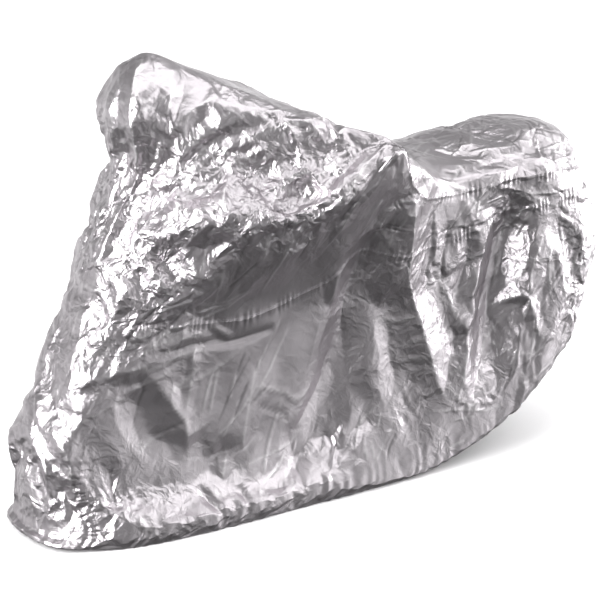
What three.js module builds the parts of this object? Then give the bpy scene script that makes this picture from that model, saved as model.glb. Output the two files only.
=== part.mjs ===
// A fitted motorcycle cover: five sewn panels of thin coated cloth, draped and folded.
// Millimetres. +X runs from the front to the tail, +Y to the right-hand side, +Z up.
import * as THREE from 'three';

// Driving sizes
const CLOTH_THICKNESS = 2;
const SADDLE = { x: 520, z: 922 };         // where the top rests, from the floor under the cover's middle
const COLUMN_STEP = 30;                    // usual spacing of the columns of facets
const SEAM_CLEARANCE = 1.0;                // left between two panels at a seam
const NORMAL_STEP = { station: 0.03, level: 0.03 };
const FOLD_STEPS = 5;                      // straight pieces in each leg of a fold
const FOLDS_START = 0.6;                   // the levels between which the folds grow from the gathered hem
const FOLDS_FULL = 2.2;
const RUN_OUT = 0.35;                      // share of a fold's length in which it rises from its end
const CREASE_FLANK = 1.15;                 // power of a crease's flank: 1 is a tent, 2 a curved flank
const ROW_GAP = 0.05;                      // least gap, in levels, between a panel's edge and its next row
const SAME_LEVEL = 1e-6;
const FILM = { roughness: 0.38, metalness: 0.8 };
const PANEL_COLOURS = { centre: 0xbdb9bd, upper: 0xb2aeb2, lower: 0xaaa6aa };

// The cover is a loft: level lines run round it, one above the other, and stations stand along them.
// Each level line reaches from its front point to its rear point.
const LEVELS = [
  { name: 'hem', front: -955, rear: 900, rowsAbove: 1 },
  { name: 'roll', front: -928, rear: 930, rowsAbove: 3 },
  { name: 'waist', front: -937, rear: 938, rowsAbove: 7 },
  { name: 'flank', front: -775, rear: 920, rowsAbove: 5 },
  { name: 'shoulder', front: -712, rear: 905, rowsAbove: 3 },
  { name: 'brow', front: -632, rear: 880, rowsAbove: 3 },
  { name: 'head', front: -655, rear: 848, rowsAbove: 3 },
  { name: 'crown', front: -582, rear: 800, rowsAbove: 0 },
];
const [HEM, WAIST, FLANK, SHOULDER, CROWN] = ['hem', 'waist', 'flank', 'shoulder', 'crown']
  .map((name) => LEVELS.findIndex((line) => line.name === name));
const ROLL_RISE = 45;                      // from the hem up to the widest line of the turned foot
const FLANK_SHARE = 0.6;                   // of the height from the waist to the shoulder

// One row for each station of a side, from the middle of the front to the middle of the rear.
// share is the way along each level line, out the half-width there, and up the height over the floor.
const STATION_COLUMNS = ['share', 'hemOut', 'hemUp', 'rollOut', 'waistOut', 'waistUp', 'flankOut',
  'shoulderOut', 'shoulderUp', 'browOut', 'browUp', 'headOut', 'headUp', 'crownUp'];
const STATIONS = [
  [0.000, 0, 12, 0, 0, 255, 0, 0, 800, 0, 985, 0, 1160, 1272],
  [0.012, 125, 12, 115, 105, 255, 95, 90, 805, 90, 985, 105, 1160, 1285],
  [0.050, 188, 8, 182, 142, 215, 168, 185, 840, 150, 990, 150, 1165, 1286],
  [0.130, 240, 0, 238, 170, 152, 202, 305, 875, 205, 995, 170, 1170, 1232],
  [0.250, 262, 0, 262, 192, 142, 218, 375, 870, 290, 978, 230, 1142, 1155],
  [0.380, 262, 0, 264, 196, 152, 242, 405, 950, 362, 1032, 280, 1090, 1050],
  [0.430, 262, 0, 264, 196, 178, 255, 420, 985, 390, 1035, 260, 1055, 1010],
  [0.500, 262, 0, 266, 196, 225, 228, 330, 900, 290, 960, 160, 965, 950],
  [0.620, 248, 0, 266, 214, 215, 196, 232, 815, 190, 868, 100, 900, 907],
  [0.740, 236, 58, 270, 248, 238, 200, 224, 820, 180, 872, 100, 905, 918],
  [0.860, 222, 182, 258, 266, 315, 228, 218, 825, 175, 882, 95, 917, 930],
  [0.950, 172, 298, 202, 212, 430, 205, 175, 805, 140, 870, 75, 910, 925],
  [0.988, 80, 345, 105, 115, 478, 110, 95, 790, 75, 855, 40, 895, 912],
  [1.000, 0, 350, 0, 0, 484, 0, 0, 785, 0, 850, 0, 890, 905],
].map((row) => Object.fromEntries(STATION_COLUMNS.map((name, i) => [name, row[i]])));
const REAR = STATIONS.length - 1;
const AROUND = 2 * REAR;                   // stations in the whole loop

// Seams, as the level that each reaches at a station of its side
const FRONT_SEAM_STATION = 2;
const SIDE_SEAM = [[2, 3.0], [5, 3.0], [6.5, 3.1], [7.5, 3.25], [8.2, 3.35], [9.2, 3.45],
  [10.5, 3.5], [13, 3.5]];
const TOP_SEAM = [[2, 3.04], [3.05, 3.45], [3.6, 4.2], [4.15, 4.85], [5, 5.0], [6, 4.9], [6.5, 4.5],
  [7, 4.05], [7.5, 3.9], [8, 4.0], [13, 4.0]];

// Main folds. at lists the (station, level) places that a fold runs through; rise is its height, and
// a hollow's is negative; reach is how far it spreads to each side; a crease has a sharp crest.
const LEFT_FOLDS = [
  { at: [[6.8, 4.1], [6.55, 3.0], [6.45, 2.5], [6.05, 2.05], [5.4, 1.7]], rise: -40, reach: 110 },
  { at: [[7.0, 3.7], [6.95, 2.7], [7.3, 2.2], [7.8, 1.5]], rise: 16, reach: 70 },
  { at: [[7.15, 3.9], [7.4, 3.0], [7.9, 2.5], [8.5, 1.75]], rise: 36, reach: 110, crease: true },
  { at: [[8.8, 3.6], [8.85, 3.0], [8.5, 2.4]], rise: 18, reach: 60 },
  { at: [[9.35, 4.0], [9.3, 3.3], [9.1, 2.7], [8.95, 1.7]], rise: -48, reach: 90 },
  { at: [[9.85, 3.2], [9.6, 2.8], [9.5, 2.4]], rise: 14, reach: 55, crease: true },
  { at: [[9.9, 3.2], [10.35, 2.85], [10.5, 2.3]], rise: -16, reach: 55 },
  { at: [[1.4, 3.7], [2.3, 3.65], [3.1, 3.75], [3.5, 3.85]], rise: -34, reach: 80 },
  { at: [[3.65, 4.3], [3.95, 4.55], [4.25, 4.75]], rise: -28, reach: 70 },
  { at: [[4.25, 4.7], [4.2, 4.2], [3.7, 3.7]], rise: -18, reach: 60 },
  { at: [[5.35, 4.95], [5.0, 4.6], [4.6, 4.15], [4.3, 3.95]], rise: 15, reach: 50, crease: true },
  { at: [[0.8, 4.7], [1.95, 4.85], [3.0, 5.05], [3.8, 5.4]], rise: 14, reach: 65, crease: true },
  { at: [[4.0, 5.5], [4.6, 5.8]], rise: 10, reach: 60, crease: true },
  { at: [[1.3, 6.1], [2.2, 5.9], [3.2, 6.0]], rise: -18, reach: 110 },
  { at: [[0.95, 5.0], [0.75, 4.5], [0.75, 4.0], [0.6, 3.3]], rise: 14, reach: 60, crease: true },
  { at: [[1.0, 6.9], [1.0, 6.2], [0.95, 5.4], [0.9, 4.8]], rise: 16, reach: 50, crease: true },
  { at: [[0.2, 3.3], [0.7, 2.9], [1.3, 2.6]], rise: 16, reach: 65, crease: true },
  { at: [[0.45, 3.85], [1.1, 3.65], [1.65, 3.4], [2.1, 3.05]], rise: 16, reach: 50, crease: true },
  { at: [[0.1, 2.6], [0.7, 2.35], [1.5, 2.2]], rise: -20, reach: 65 },
  { at: [[0.15, 2.3], [0.7, 2.15], [1.35, 1.9], [1.8, 1.5]], rise: -17, reach: 50 },
  { at: [[2.3, 2.75], [2.9, 2.4], [3.7, 2.15], [4.5, 2.1]], rise: -12, reach: 70 },
  { at: [[2.75, 2.7], [3.5, 2.42], [3.75, 2.1]], rise: 13, reach: 45, crease: true },
  { at: [[8.65, 2.45], [8.6, 2.3], [8.55, 2.1], [8.45, 1.85]], rise: 15, reach: 50, crease: true },
  { at: [[4.5, 2.95], [4.3, 2.6], [4.35, 2.2], [4.6, 1.9]], rise: 9, reach: 55, crease: true },
  { at: [[12.4, 3.8], [12.6, 3.0], [12.3, 2.2]], rise: -16, reach: 60 },
  { at: [[1.6, 1.3], [3.0, 1.4], [4.4, 1.5], [5.8, 1.4]], rise: 16, reach: 85 },
  { at: [[5.2, 1.55], [6.3, 1.45], [7.4, 1.55], [8.6, 1.65]], rise: 28, reach: 95 },
];
const RIGHT_FOLDS = [
  { at: [[6.5, 3.9], [6.2, 3.0], [6.0, 2.4], [5.3, 1.9]], rise: -38, reach: 75 },
  { at: [[7.4, 3.8], [7.3, 2.8], [7.7, 2.0]], rise: 20, reach: 70 },
  { at: [[9.0, 3.8], [8.8, 2.9], [8.9, 2.0]], rise: -40, reach: 65 },
  { at: [[9.8, 3.6], [9.6, 2.8], [9.9, 2.2]], rise: 18, reach: 60 },
  { at: [[2.1, 3.65], [2.8, 3.6], [3.8, 3.7]], rise: -26, reach: 70 },
  { at: [[3.8, 4.2], [4.3, 4.6]], rise: -26, reach: 60, crease: true },
  { at: [[0.9, 4.8], [2.2, 4.9], [3.4, 5.2], [4.6, 5.6]], rise: 13, reach: 65, crease: true },
  { at: [[2.2, 2.5], [3.2, 2.3], [4.6, 2.2]], rise: -20, reach: 70 },
  { at: [[3.6, 3.0], [3.9, 2.4], [4.1, 2.0]], rise: 9, reach: 60, crease: true },
  { at: [[12.0, 3.6], [12.2, 2.6]], rise: 14, reach: 60 },
  { at: [[3.6, 1.5], [5.0, 1.5], [6.4, 1.55], [7.8, 1.6]], rise: 20, reach: 80 },
];
const FOLDS = [
  ...LEFT_FOLDS.map((fold) => ({ side: 'left', ...fold })),
  ...RIGHT_FOLDS.map((fold) => ({ side: 'right', ...fold })),
];

const mix = (from, to, share) => from + (to - from) * share;

// A smooth curve through p1 and p2, at share f between them
function curve(p0, p1, p2, p3, f) {
  return p1.map((_, i) => 0.5 * (2 * p1[i] + (p2[i] - p0[i]) * f
    + (2 * p0[i] - 5 * p1[i] + 4 * p2[i] - p3[i]) * f ** 2
    + (3 * p1[i] - p0[i] - 3 * p2[i] + p3[i]) * f ** 3));
}

// The places of one station on every level line, from the hem to the crown, for side -1 or 1
function stationPlaces(row, side) {
  const flankUp = mix(row.waistUp, row.shoulderUp, FLANK_SHARE);
  const outAndUp = [
    [row.hemOut, row.hemUp],
    [row.rollOut, row.hemUp + ROLL_RISE],
    [row.waistOut, row.waistUp],
    [row.flankOut, flankUp],
    [row.shoulderOut, row.shoulderUp],
    [row.browOut, row.browUp],
    [row.headOut, row.headUp],
    [0, row.crownUp],
  ];
  return outAndUp.map(([out, up], i) => [mix(LEVELS[i].front, LEVELS[i].rear, row.share), side * out, up]);
}

// The whole loop of stations: down the left side from the front, then back up the right side
const LOOP = [
  ...STATIONS.map((row) => stationPlaces(row, -1)),
  ...STATIONS.slice(1, -1).reverse().map((row) => stationPlaces(row, 1)),
];

function column(station) {
  const before = Math.floor(station);
  const row = (offset) => LOOP[(((before + offset) % AROUND) + AROUND) % AROUND];
  return LEVELS.map((_, i) => curve(row(-1)[i], row(0)[i], row(1)[i], row(2)[i], station - before));
}

// A point of the cover before its folds. Past the crown a column goes on down the other side.
function basePoint(station, level) {
  const own = column(station);
  const other = column(-station);
  const below = own[0].map((value, i) => 2 * value - own[1][i]);
  const points = [below, ...own, other[CROWN - 1], other[CROWN - 2]];
  const step = Math.min(Math.floor(level), CROWN);
  const [p0, p1, p2, p3] = points.slice(step, step + 4);
  return new THREE.Vector3(...curve(p0, p1, p2, p3, level - step));
}

// The outward direction of a surface at a place, from four points around it
function outward(surface, station, level) {
  const low = Math.max(level - NORMAL_STEP.level, 0);
  const before = surface(station - NORMAL_STEP.station, level);
  const along = surface(station + NORMAL_STEP.station, level).sub(before);
  const rising = surface(station, level + NORMAL_STEP.level).sub(surface(station, low));
  return along.cross(rising).normalize();
}

const loopStation = (side, station) => (side === 'left' ? station : AROUND - station);

// A fold's crest line on the unfolded surface, as short straight pieces
function foldLine({ side, at }) {
  const points = [];
  at.slice(1).forEach((to, i) => {
    for (let k = 0; k < FOLD_STEPS; k += 1) {
      const share = k / FOLD_STEPS;
      points.push(basePoint(loopStation(side, mix(at[i][0], to[0], share)), mix(at[i][1], to[1], share)));
    }
  });
  points.push(basePoint(loopStation(side, at.at(-1)[0]), at.at(-1)[1]));
  let length = 0;
  const pieces = points.slice(1).map((end, i) => {
    const line = new THREE.Line3(points[i], end);
    const piece = { line, start: length };
    length += line.distance();
    return piece;
  });
  return { pieces, length };
}
const FOLD_LINES = FOLDS.map(foldLine);

// The distance from a point to a crest line, and the length along the line to the place nearest to it
function nearestPlace({ pieces }, point) {
  const near = new THREE.Vector3();
  const places = pieces.map(({ line, start }) => {
    const away = line.closestPointToPoint(point, true, near).distanceTo(point);
    return { away, along: start + near.distanceTo(line.start) };
  });
  return places.reduce((best, place) => (place.away < best.away ? place : best));
}

// How far the folds lift the cloth at a point: each falls away from its crest line to nothing at its reach,
// and runs out at both ends
function foldRise(point) {
  return FOLDS.reduce((sum, fold, i) => {
    const { length } = FOLD_LINES[i];
    const { away, along } = nearestPlace(FOLD_LINES[i], point);
    const share = Math.min(away / fold.reach, 1);
    const end = Math.min(Math.min(along, length - along) / (RUN_OUT * length), 1);
    const profile = fold.crease ? (1 - share) ** CREASE_FLANK : (1 - share ** 2) ** 2;
    return sum + fold.rise * end * (2 - end) * profile;
  }, 0);
}

// A point of the draped cloth's outer face. The folds die out towards the elastic of the hem.
function clothPoint(station, level) {
  const point = basePoint(station, level);
  const share = THREE.MathUtils.smoothstep(level, FOLDS_START, FOLDS_FULL);
  return point.addScaledVector(outward(basePoint, station, level), share * foldRise(point.clone()));
}

// The level of a seam at a station, on straight lines between its rows
function seamLevel(rows, station) {
  const side = station <= REAR ? station : AROUND - station;
  const after = rows.findIndex((row) => row[0] >= side);
  const i = Math.max(after, 1);
  const [from, to] = [rows[i - 1], rows[i]];
  return mix(from[1], to[1], (side - from[0]) / (to[0] - from[0]));
}

// Stations from one place to another along the loop, no further apart than the column step
function columnsBetween(from, to) {
  const places = [from];
  const marks = [];
  for (let mark = Math.floor(from) + 1; mark < to; mark += 1) marks.push(mark);
  [...marks, to].forEach((end) => {
    const start = places.at(-1);
    const length = basePoint(start, WAIST).distanceTo(basePoint(end, WAIST));
    const steps = Math.max(1, Math.round(length / COLUMN_STEP));
    for (let k = 1; k <= steps; k += 1) places.push(mix(start, end, k / steps));
  });
  return places;
}

// Shares of the height from one level to another, closer where the level lines are
function rowsBetween(from, to) {
  const levels = [from];
  LEVELS.forEach((line, i) => {
    for (let k = 0; k < line.rowsAbove; k += 1) {
      const level = i + k / line.rowsAbove;
      if (level > from + ROW_GAP && level < to - ROW_GAP) levels.push(level);
    }
  });
  return [...levels, to].map((level) => (level - from) / (to - from));
}

// Half the seam clearance, in stations, at a place
function clearanceInStations(station, level) {
  const step = NORMAL_STEP.station;
  const length = clothPoint(station + step, level).distanceTo(clothPoint(station, level));
  return (SEAM_CLEARANCE / 2) * (step / length);
}

// A panel's edge at a seam: the seam's level, moved up or down by half the clearance, square to the seam
function seamEdge(rows, station, direction) {
  const level = seamLevel(rows, station);
  const step = NORMAL_STEP;
  const onSeam = (place) => clothPoint(place, seamLevel(rows, place));
  const up = clothPoint(station, level + step.level).sub(clothPoint(station, level)).divideScalar(step.level);
  const along = onSeam(station + step.station).sub(onSeam(station - step.station)).normalize();
  const square = up.cross(along).length();
  return level + direction * (SEAM_CLEARANCE / 2) / square;
}

// A panel is a sheet of facets on the cloth. Patches that meet share their places.
class Sheet {
  constructor() {
    this.index = new Map();
    this.outer = [];
    this.inner = [];
    this.triangles = [];
  }

  vertex(station, level) {
    const onCrown = level > CROWN - SAME_LEVEL;
    const place = onCrown ? Math.min(station, AROUND - station) : station % AROUND;
    const key = `${place.toFixed(5)} ${level.toFixed(5)}`;
    if (!this.index.has(key)) {
      const point = clothPoint(place, level);
      this.index.set(key, this.outer.length);
      this.outer.push(point);
      this.inner.push(point.clone().addScaledVector(outward(clothPoint, place, level), -CLOTH_THICKNESS));
    }
    return this.index.get(key);
  }

  // stations: the columns; shares: the rows; low and high: the levels of a column's ends
  patch(stations, shares, low, high) {
    const grid = stations.map((station) => shares.map(
      (share) => this.vertex(station, mix(low(station), high(station), share))));
    for (let i = 1; i < grid.length; i += 1) {
      for (let k = 1; k < shares.length; k += 1) {
        this.quad(grid[i - 1][k - 1], grid[i][k - 1], grid[i][k], grid[i - 1][k]);
      }
    }
  }

  // Two triangles, split along the shorter diagonal
  quad(a, b, c, d) {
    const length = (from, to) => this.outer[from].distanceToSquared(this.outer[to]);
    if (length(a, c) <= length(b, d)) this.triangles.push([a, b, c], [a, c, d]);
    else this.triangles.push([a, b, d], [b, c, d]);
  }

  // The closed solid: outer face, inner face, and a wall along each free edge
  solid() {
    const count = this.outer.length;
    const edges = new Map();
    this.triangles.forEach(([a, b, c]) => {
      [[a, b], [b, c], [c, a]].forEach((edge) => edges.set(edge.join(' '), edge));
    });
    const faces = this.triangles.flatMap((t) => [t, [t[0] + count, t[2] + count, t[1] + count]]);
    edges.forEach(([from, to]) => {
      if (edges.has(`${to} ${from}`)) return;
      faces.push([to, from, from + count], [to, from + count, to + count]);
    });
    const geometry = new THREE.BufferGeometry().setFromPoints([...this.outer, ...this.inner]);
    geometry.setIndex(faces.flat());
    geometry.computeVertexNormals();
    return geometry;
  }
}

// All panels share these columns, so their edges follow each other along a seam
const FRONT_COLUMNS = columnsBetween(0, FRONT_SEAM_STATION);
const SIDE_COLUMNS = columnsBetween(FRONT_SEAM_STATION, REAR);
const FRONT_SEAM_EDGE = clearanceInStations(FRONT_SEAM_STATION, WAIST);
const REAR_SEAM_EDGE = clearanceInStations(REAR, FLANK);

const mirrored = (stations) => stations.map((station) => AROUND - station).reverse();

// The long centre panel: the apron at the front, then all above the top seam
function centrePanel() {
  const sheet = new Sheet();
  const front = [...FRONT_COLUMNS.slice(0, -1), FRONT_SEAM_STATION - FRONT_SEAM_EDGE];
  const left = [...front, ...SIDE_COLUMNS.slice(1)];
  const apronTop = seamLevel(TOP_SEAM, FRONT_SEAM_STATION);
  const lowest = (station) => {
    if (Math.min(station, AROUND - station) < FRONT_SEAM_STATION) return apronTop;
    return seamEdge(TOP_SEAM, station, 1);
  };
  const apronRows = rowsBetween(HEM, apronTop);
  const topRows = rowsBetween(SHOULDER, CROWN);
  for (const stations of [left, mirrored(left)]) {
    sheet.patch(stations, topRows, lowest, () => CROWN);
  }
  for (const stations of [front, mirrored(front)]) {
    sheet.patch(stations, apronRows, () => HEM, () => apronTop);
  }
  return sheet.solid();
}

// A side panel between two levels, from the front seam to the seam at the middle of the rear
function sidePanel(side, low, high, shares) {
  const sheet = new Sheet();
  const start = FRONT_SEAM_STATION + FRONT_SEAM_EDGE;
  const stations = [start, ...SIDE_COLUMNS.slice(1, -1), REAR - REAR_SEAM_EDGE];
  sheet.patch(side === 'left' ? stations : mirrored(stations), shares, low, high);
  return sheet.solid();
}

function lowerPanel(side) {
  const high = (station) => seamEdge(SIDE_SEAM, station, -1);
  return sidePanel(side, () => HEM, high, rowsBetween(HEM, FLANK));
}

function upperPanel(side) {
  const low = (station) => seamEdge(SIDE_SEAM, station, 1);
  const high = (station) => seamEdge(TOP_SEAM, station, -1);
  return sidePanel(side, low, high, rowsBetween(FLANK, SHOULDER));
}

// A named panel of silver-coated polyester
function panel(name, geometry, color) {
  const coated = new THREE.MeshStandardMaterial({ color, ...FILM });
  const mesh = new THREE.Mesh(geometry, coated);
  mesh.name = name;
  return mesh;
}

const cover = new THREE.Group();
cover.add(panel('centre_panel', centrePanel(), PANEL_COLOURS.centre));
for (const side of ['left', 'right']) {
  cover.add(panel(`${side}_upper_panel`, upperPanel(side), PANEL_COLOURS.upper));
  cover.add(panel(`${side}_lower_panel`, lowerPanel(side), PANEL_COLOURS.lower));
}
cover.position.set(-SADDLE.x, 0, -SADDLE.z);

export default cover;
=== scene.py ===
# %% [markdown]
# # A motorcycle cover of silver-coated cloth
# A thin, crackling cloth with an aluminium coating stands in the shape of what it was pulled over. Five sewn
# panels make it. Their plain folded solids come with the frame, and this lesson dresses each of them with a
# fine sheet: the same main folds, then the creases, puckers and crumples that a coated cloth keeps.
# Everything is worked out as numpy arrays, so a whole panel is one call.

# %% The frame
import bpy
import math
import numpy as np
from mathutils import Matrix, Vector


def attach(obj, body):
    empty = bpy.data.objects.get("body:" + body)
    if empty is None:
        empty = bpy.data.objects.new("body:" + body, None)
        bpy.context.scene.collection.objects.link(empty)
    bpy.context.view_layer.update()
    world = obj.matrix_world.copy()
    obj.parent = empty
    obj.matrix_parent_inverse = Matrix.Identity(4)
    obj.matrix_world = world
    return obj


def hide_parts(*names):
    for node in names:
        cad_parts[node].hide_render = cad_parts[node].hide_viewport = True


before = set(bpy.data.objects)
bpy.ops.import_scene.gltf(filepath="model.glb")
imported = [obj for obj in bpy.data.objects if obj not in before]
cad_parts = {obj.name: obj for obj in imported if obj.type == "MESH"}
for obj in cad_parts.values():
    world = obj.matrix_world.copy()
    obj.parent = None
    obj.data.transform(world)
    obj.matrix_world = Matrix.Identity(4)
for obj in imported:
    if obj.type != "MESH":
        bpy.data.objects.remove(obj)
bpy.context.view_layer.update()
print("panels in the frame:", sorted(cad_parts))

# %% [markdown]
# ## The camera
# The picture looks down on the left side from the front, through a long lens far away, which keeps the
# cover's lines almost parallel. Heights here are over the floor, while the frame's origin is under the
# cover's top, where it is held up, so one vector takes the first to the second.

# %% The camera
SADDLE = np.array([0.520, 0.0, 0.922])  # from the floor under the middle to the frame's origin
VIEW_AZIMUTH = math.radians(-33.3)
VIEW_ELEVATION = math.radians(19.0)
VIEW_DISTANCE = 7.0
VIEW_AIM = Vector((-0.050, -0.005, 0.507)) - Vector(SADDLE)
VIEW_LENS = 147.9


def linked(name, data):
    """A new object with its data, in the scene."""
    made = bpy.data.objects.new(name, data)
    bpy.context.collection.objects.link(made)
    return made


back = Vector((math.sin(VIEW_AZIMUTH) * math.cos(VIEW_ELEVATION),
               -math.cos(VIEW_AZIMUTH) * math.cos(VIEW_ELEVATION),
               math.sin(VIEW_ELEVATION)))
camera = linked("camera", bpy.data.cameras.new("camera"))
camera.data.lens = VIEW_LENS
camera.location = VIEW_AIM + back * VIEW_DISTANCE
camera.rotation_euler = (-back).to_track_quat("-Z", "Y").to_euler()
bpy.context.scene.camera = camera
print("camera at", [round(v, 2) for v in camera.location])

# %% [markdown]
# ## The cover's lines
# Boat builders draw a hull as level lines with stations along them, and a cover is drawn in the same way.
# Eight level lines run round it from the hem to the crown. Each reaches from a front point to a rear point,
# and fourteen stations on each side say how far out and how high the cloth is there. A smooth curve through
# the stations, and another up through the levels, gives the cloth before it is folded. The numbers are those
# of the solids, in millimetres.

# %% The cover's lines
LEVEL_FRONT = np.array([-955, -928, -937, -775, -712, -632, -655, -582.0])
LEVEL_REAR = np.array([900, 930, 938, 920, 905, 880, 848, 800.0])
CROWN = 7
ROLL_RISE = 45  # from the hem up to the widest line of the turned foot
FLANK_SHARE = 0.6  # of the height from the waist to the shoulder
# Columns: share of the way along, then the half-width (out) and height (up) on the level lines:
# hem out, hem up, roll out, waist out, waist up, flank out, shoulder out, shoulder up,
# brow out, brow up, head out, head up, crown up
STATIONS = np.array([
    [0.000, 0, 12, 0, 0, 255, 0, 0, 800, 0, 985, 0, 1160, 1272],
    [0.012, 125, 12, 115, 105, 255, 95, 90, 805, 90, 985, 105, 1160, 1285],
    [0.050, 188, 8, 182, 142, 215, 168, 185, 840, 150, 990, 150, 1165, 1286],
    [0.130, 240, 0, 238, 170, 152, 202, 305, 875, 205, 995, 170, 1170, 1232],
    [0.250, 262, 0, 262, 192, 142, 218, 375, 870, 290, 978, 230, 1142, 1155],
    [0.380, 262, 0, 264, 196, 152, 242, 405, 950, 362, 1032, 280, 1090, 1050],
    [0.430, 262, 0, 264, 196, 178, 255, 420, 985, 390, 1035, 260, 1055, 1010],
    [0.500, 262, 0, 266, 196, 225, 228, 330, 900, 290, 960, 160, 965, 950],
    [0.620, 248, 0, 266, 214, 215, 196, 232, 815, 190, 868, 100, 900, 907],
    [0.740, 236, 58, 270, 248, 238, 200, 224, 820, 180, 872, 100, 905, 918],
    [0.860, 222, 182, 258, 266, 315, 228, 218, 825, 175, 882, 95, 917, 930],
    [0.950, 172, 298, 202, 212, 430, 205, 175, 805, 140, 870, 75, 910, 925],
    [0.988, 80, 345, 105, 115, 478, 110, 95, 790, 75, 855, 40, 895, 912],
    [1.000, 0, 350, 0, 0, 484, 0, 0, 785, 0, 850, 0, 890, 905],
])
REAR = len(STATIONS) - 1
AROUND = 2 * REAR


def station_loop():
    """Places of all stations on all levels, in metres: x is mixed from each level's front and rear points by
    the share, y is the half-width and z the height. The left side comes first, then the right side back."""
    share, hem_y, hem_z, roll_y, waist_y, waist_z, flank_y, *upper, crown_z = STATIONS.T
    shoulder_y, shoulder_z, brow_y, brow_z, head_y, head_z = upper
    x = LEVEL_FRONT + share[:, None] * (LEVEL_REAR - LEVEL_FRONT)
    y = -np.stack([hem_y, roll_y, waist_y, flank_y, shoulder_y, brow_y, head_y, 0 * hem_y], axis=1)
    flank_z = waist_z + FLANK_SHARE * (shoulder_z - waist_z)
    z = np.stack([hem_z, hem_z + ROLL_RISE, waist_z, flank_z, shoulder_z, brow_z, head_z, crown_z], axis=1)
    left = np.stack([x, y, z], axis=2) / 1000
    return np.concatenate([left, left[-2:0:-1] * [1, -1, 1]])


LOOP = station_loop()


def curve(p0, p1, p2, p3, f):
    """A smooth curve from p1 to p2, past p0 and p3, at share f: half of 2 p1 + (p2 - p0) f
    + (2 p0 - 5 p1 + 4 p2 - p3) f squared + (3 p1 - p0 - 3 p2 + p3) f cubed."""
    return 0.5 * (2 * p1 + (p2 - p0) * f + (2 * p0 - 5 * p1 + 4 * p2 - p3) * f**2
                  + (3 * p1 - p0 - 3 * p2 + p3) * f**3)


def unit(vectors):
    """The same directions at length 1."""
    return vectors / np.maximum(np.linalg.norm(vectors, axis=-1, keepdims=True), 1e-12)


def lengths_along(line):
    """The length along a line of points (n x 3), from its start to each of them."""
    return np.concatenate([[0], np.cumsum(np.linalg.norm(np.diff(line, axis=0), axis=1))])


def columns(station):
    """The eight level places of each station: a closed curve through the loop's rows."""
    before = np.floor(station).astype(int)
    f = (station - before)[:, None, None]
    return curve(*(LOOP[(before + step) % AROUND] for step in (-1, 0, 1, 2)), f)


def base_points(station, level):
    """The unfolded cloth at stations (n) and levels (n x m): a curve up each column. Below the hem it goes on
    straight, and past the crown it goes down the column of the other side."""
    own = columns(station)
    other = columns(-station)
    rows = np.concatenate([2 * own[:, :1] - own[:, 1:2], own, other[:, -2:-4:-1]], axis=1)
    step = np.clip(np.floor(level).astype(int), 0, CROWN)
    f = (level - step)[..., None]
    index = np.arange(len(station))[:, None]
    return curve(*(rows[index, step + k] for k in range(4)), f)


def base_outward(station, level, step=0.03):
    """The direction out of the unfolded cloth: the cross product of its run along and its rise up."""
    along = base_points(station + step, level) - base_points(station - step, level)
    rise = base_points(station, level + step) - base_points(station, np.maximum(level - step, 0))
    return unit(np.cross(along, rise))


def metres_per_step(station, level, step):
    """Metres of cloth in one station and in one level at places (n) of each, over two small steps."""
    level = level[:, None]
    along = base_points(station + step, level) - base_points(station - step, level)
    up = base_points(station, level + step) - base_points(station, level - step)
    return np.linalg.norm(along[:, 0], axis=1) / (2 * step), np.linalg.norm(up[:, 0], axis=1) / (2 * step)


print("loft of", len(LOOP), "stations on", CROWN + 1, "levels")
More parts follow.
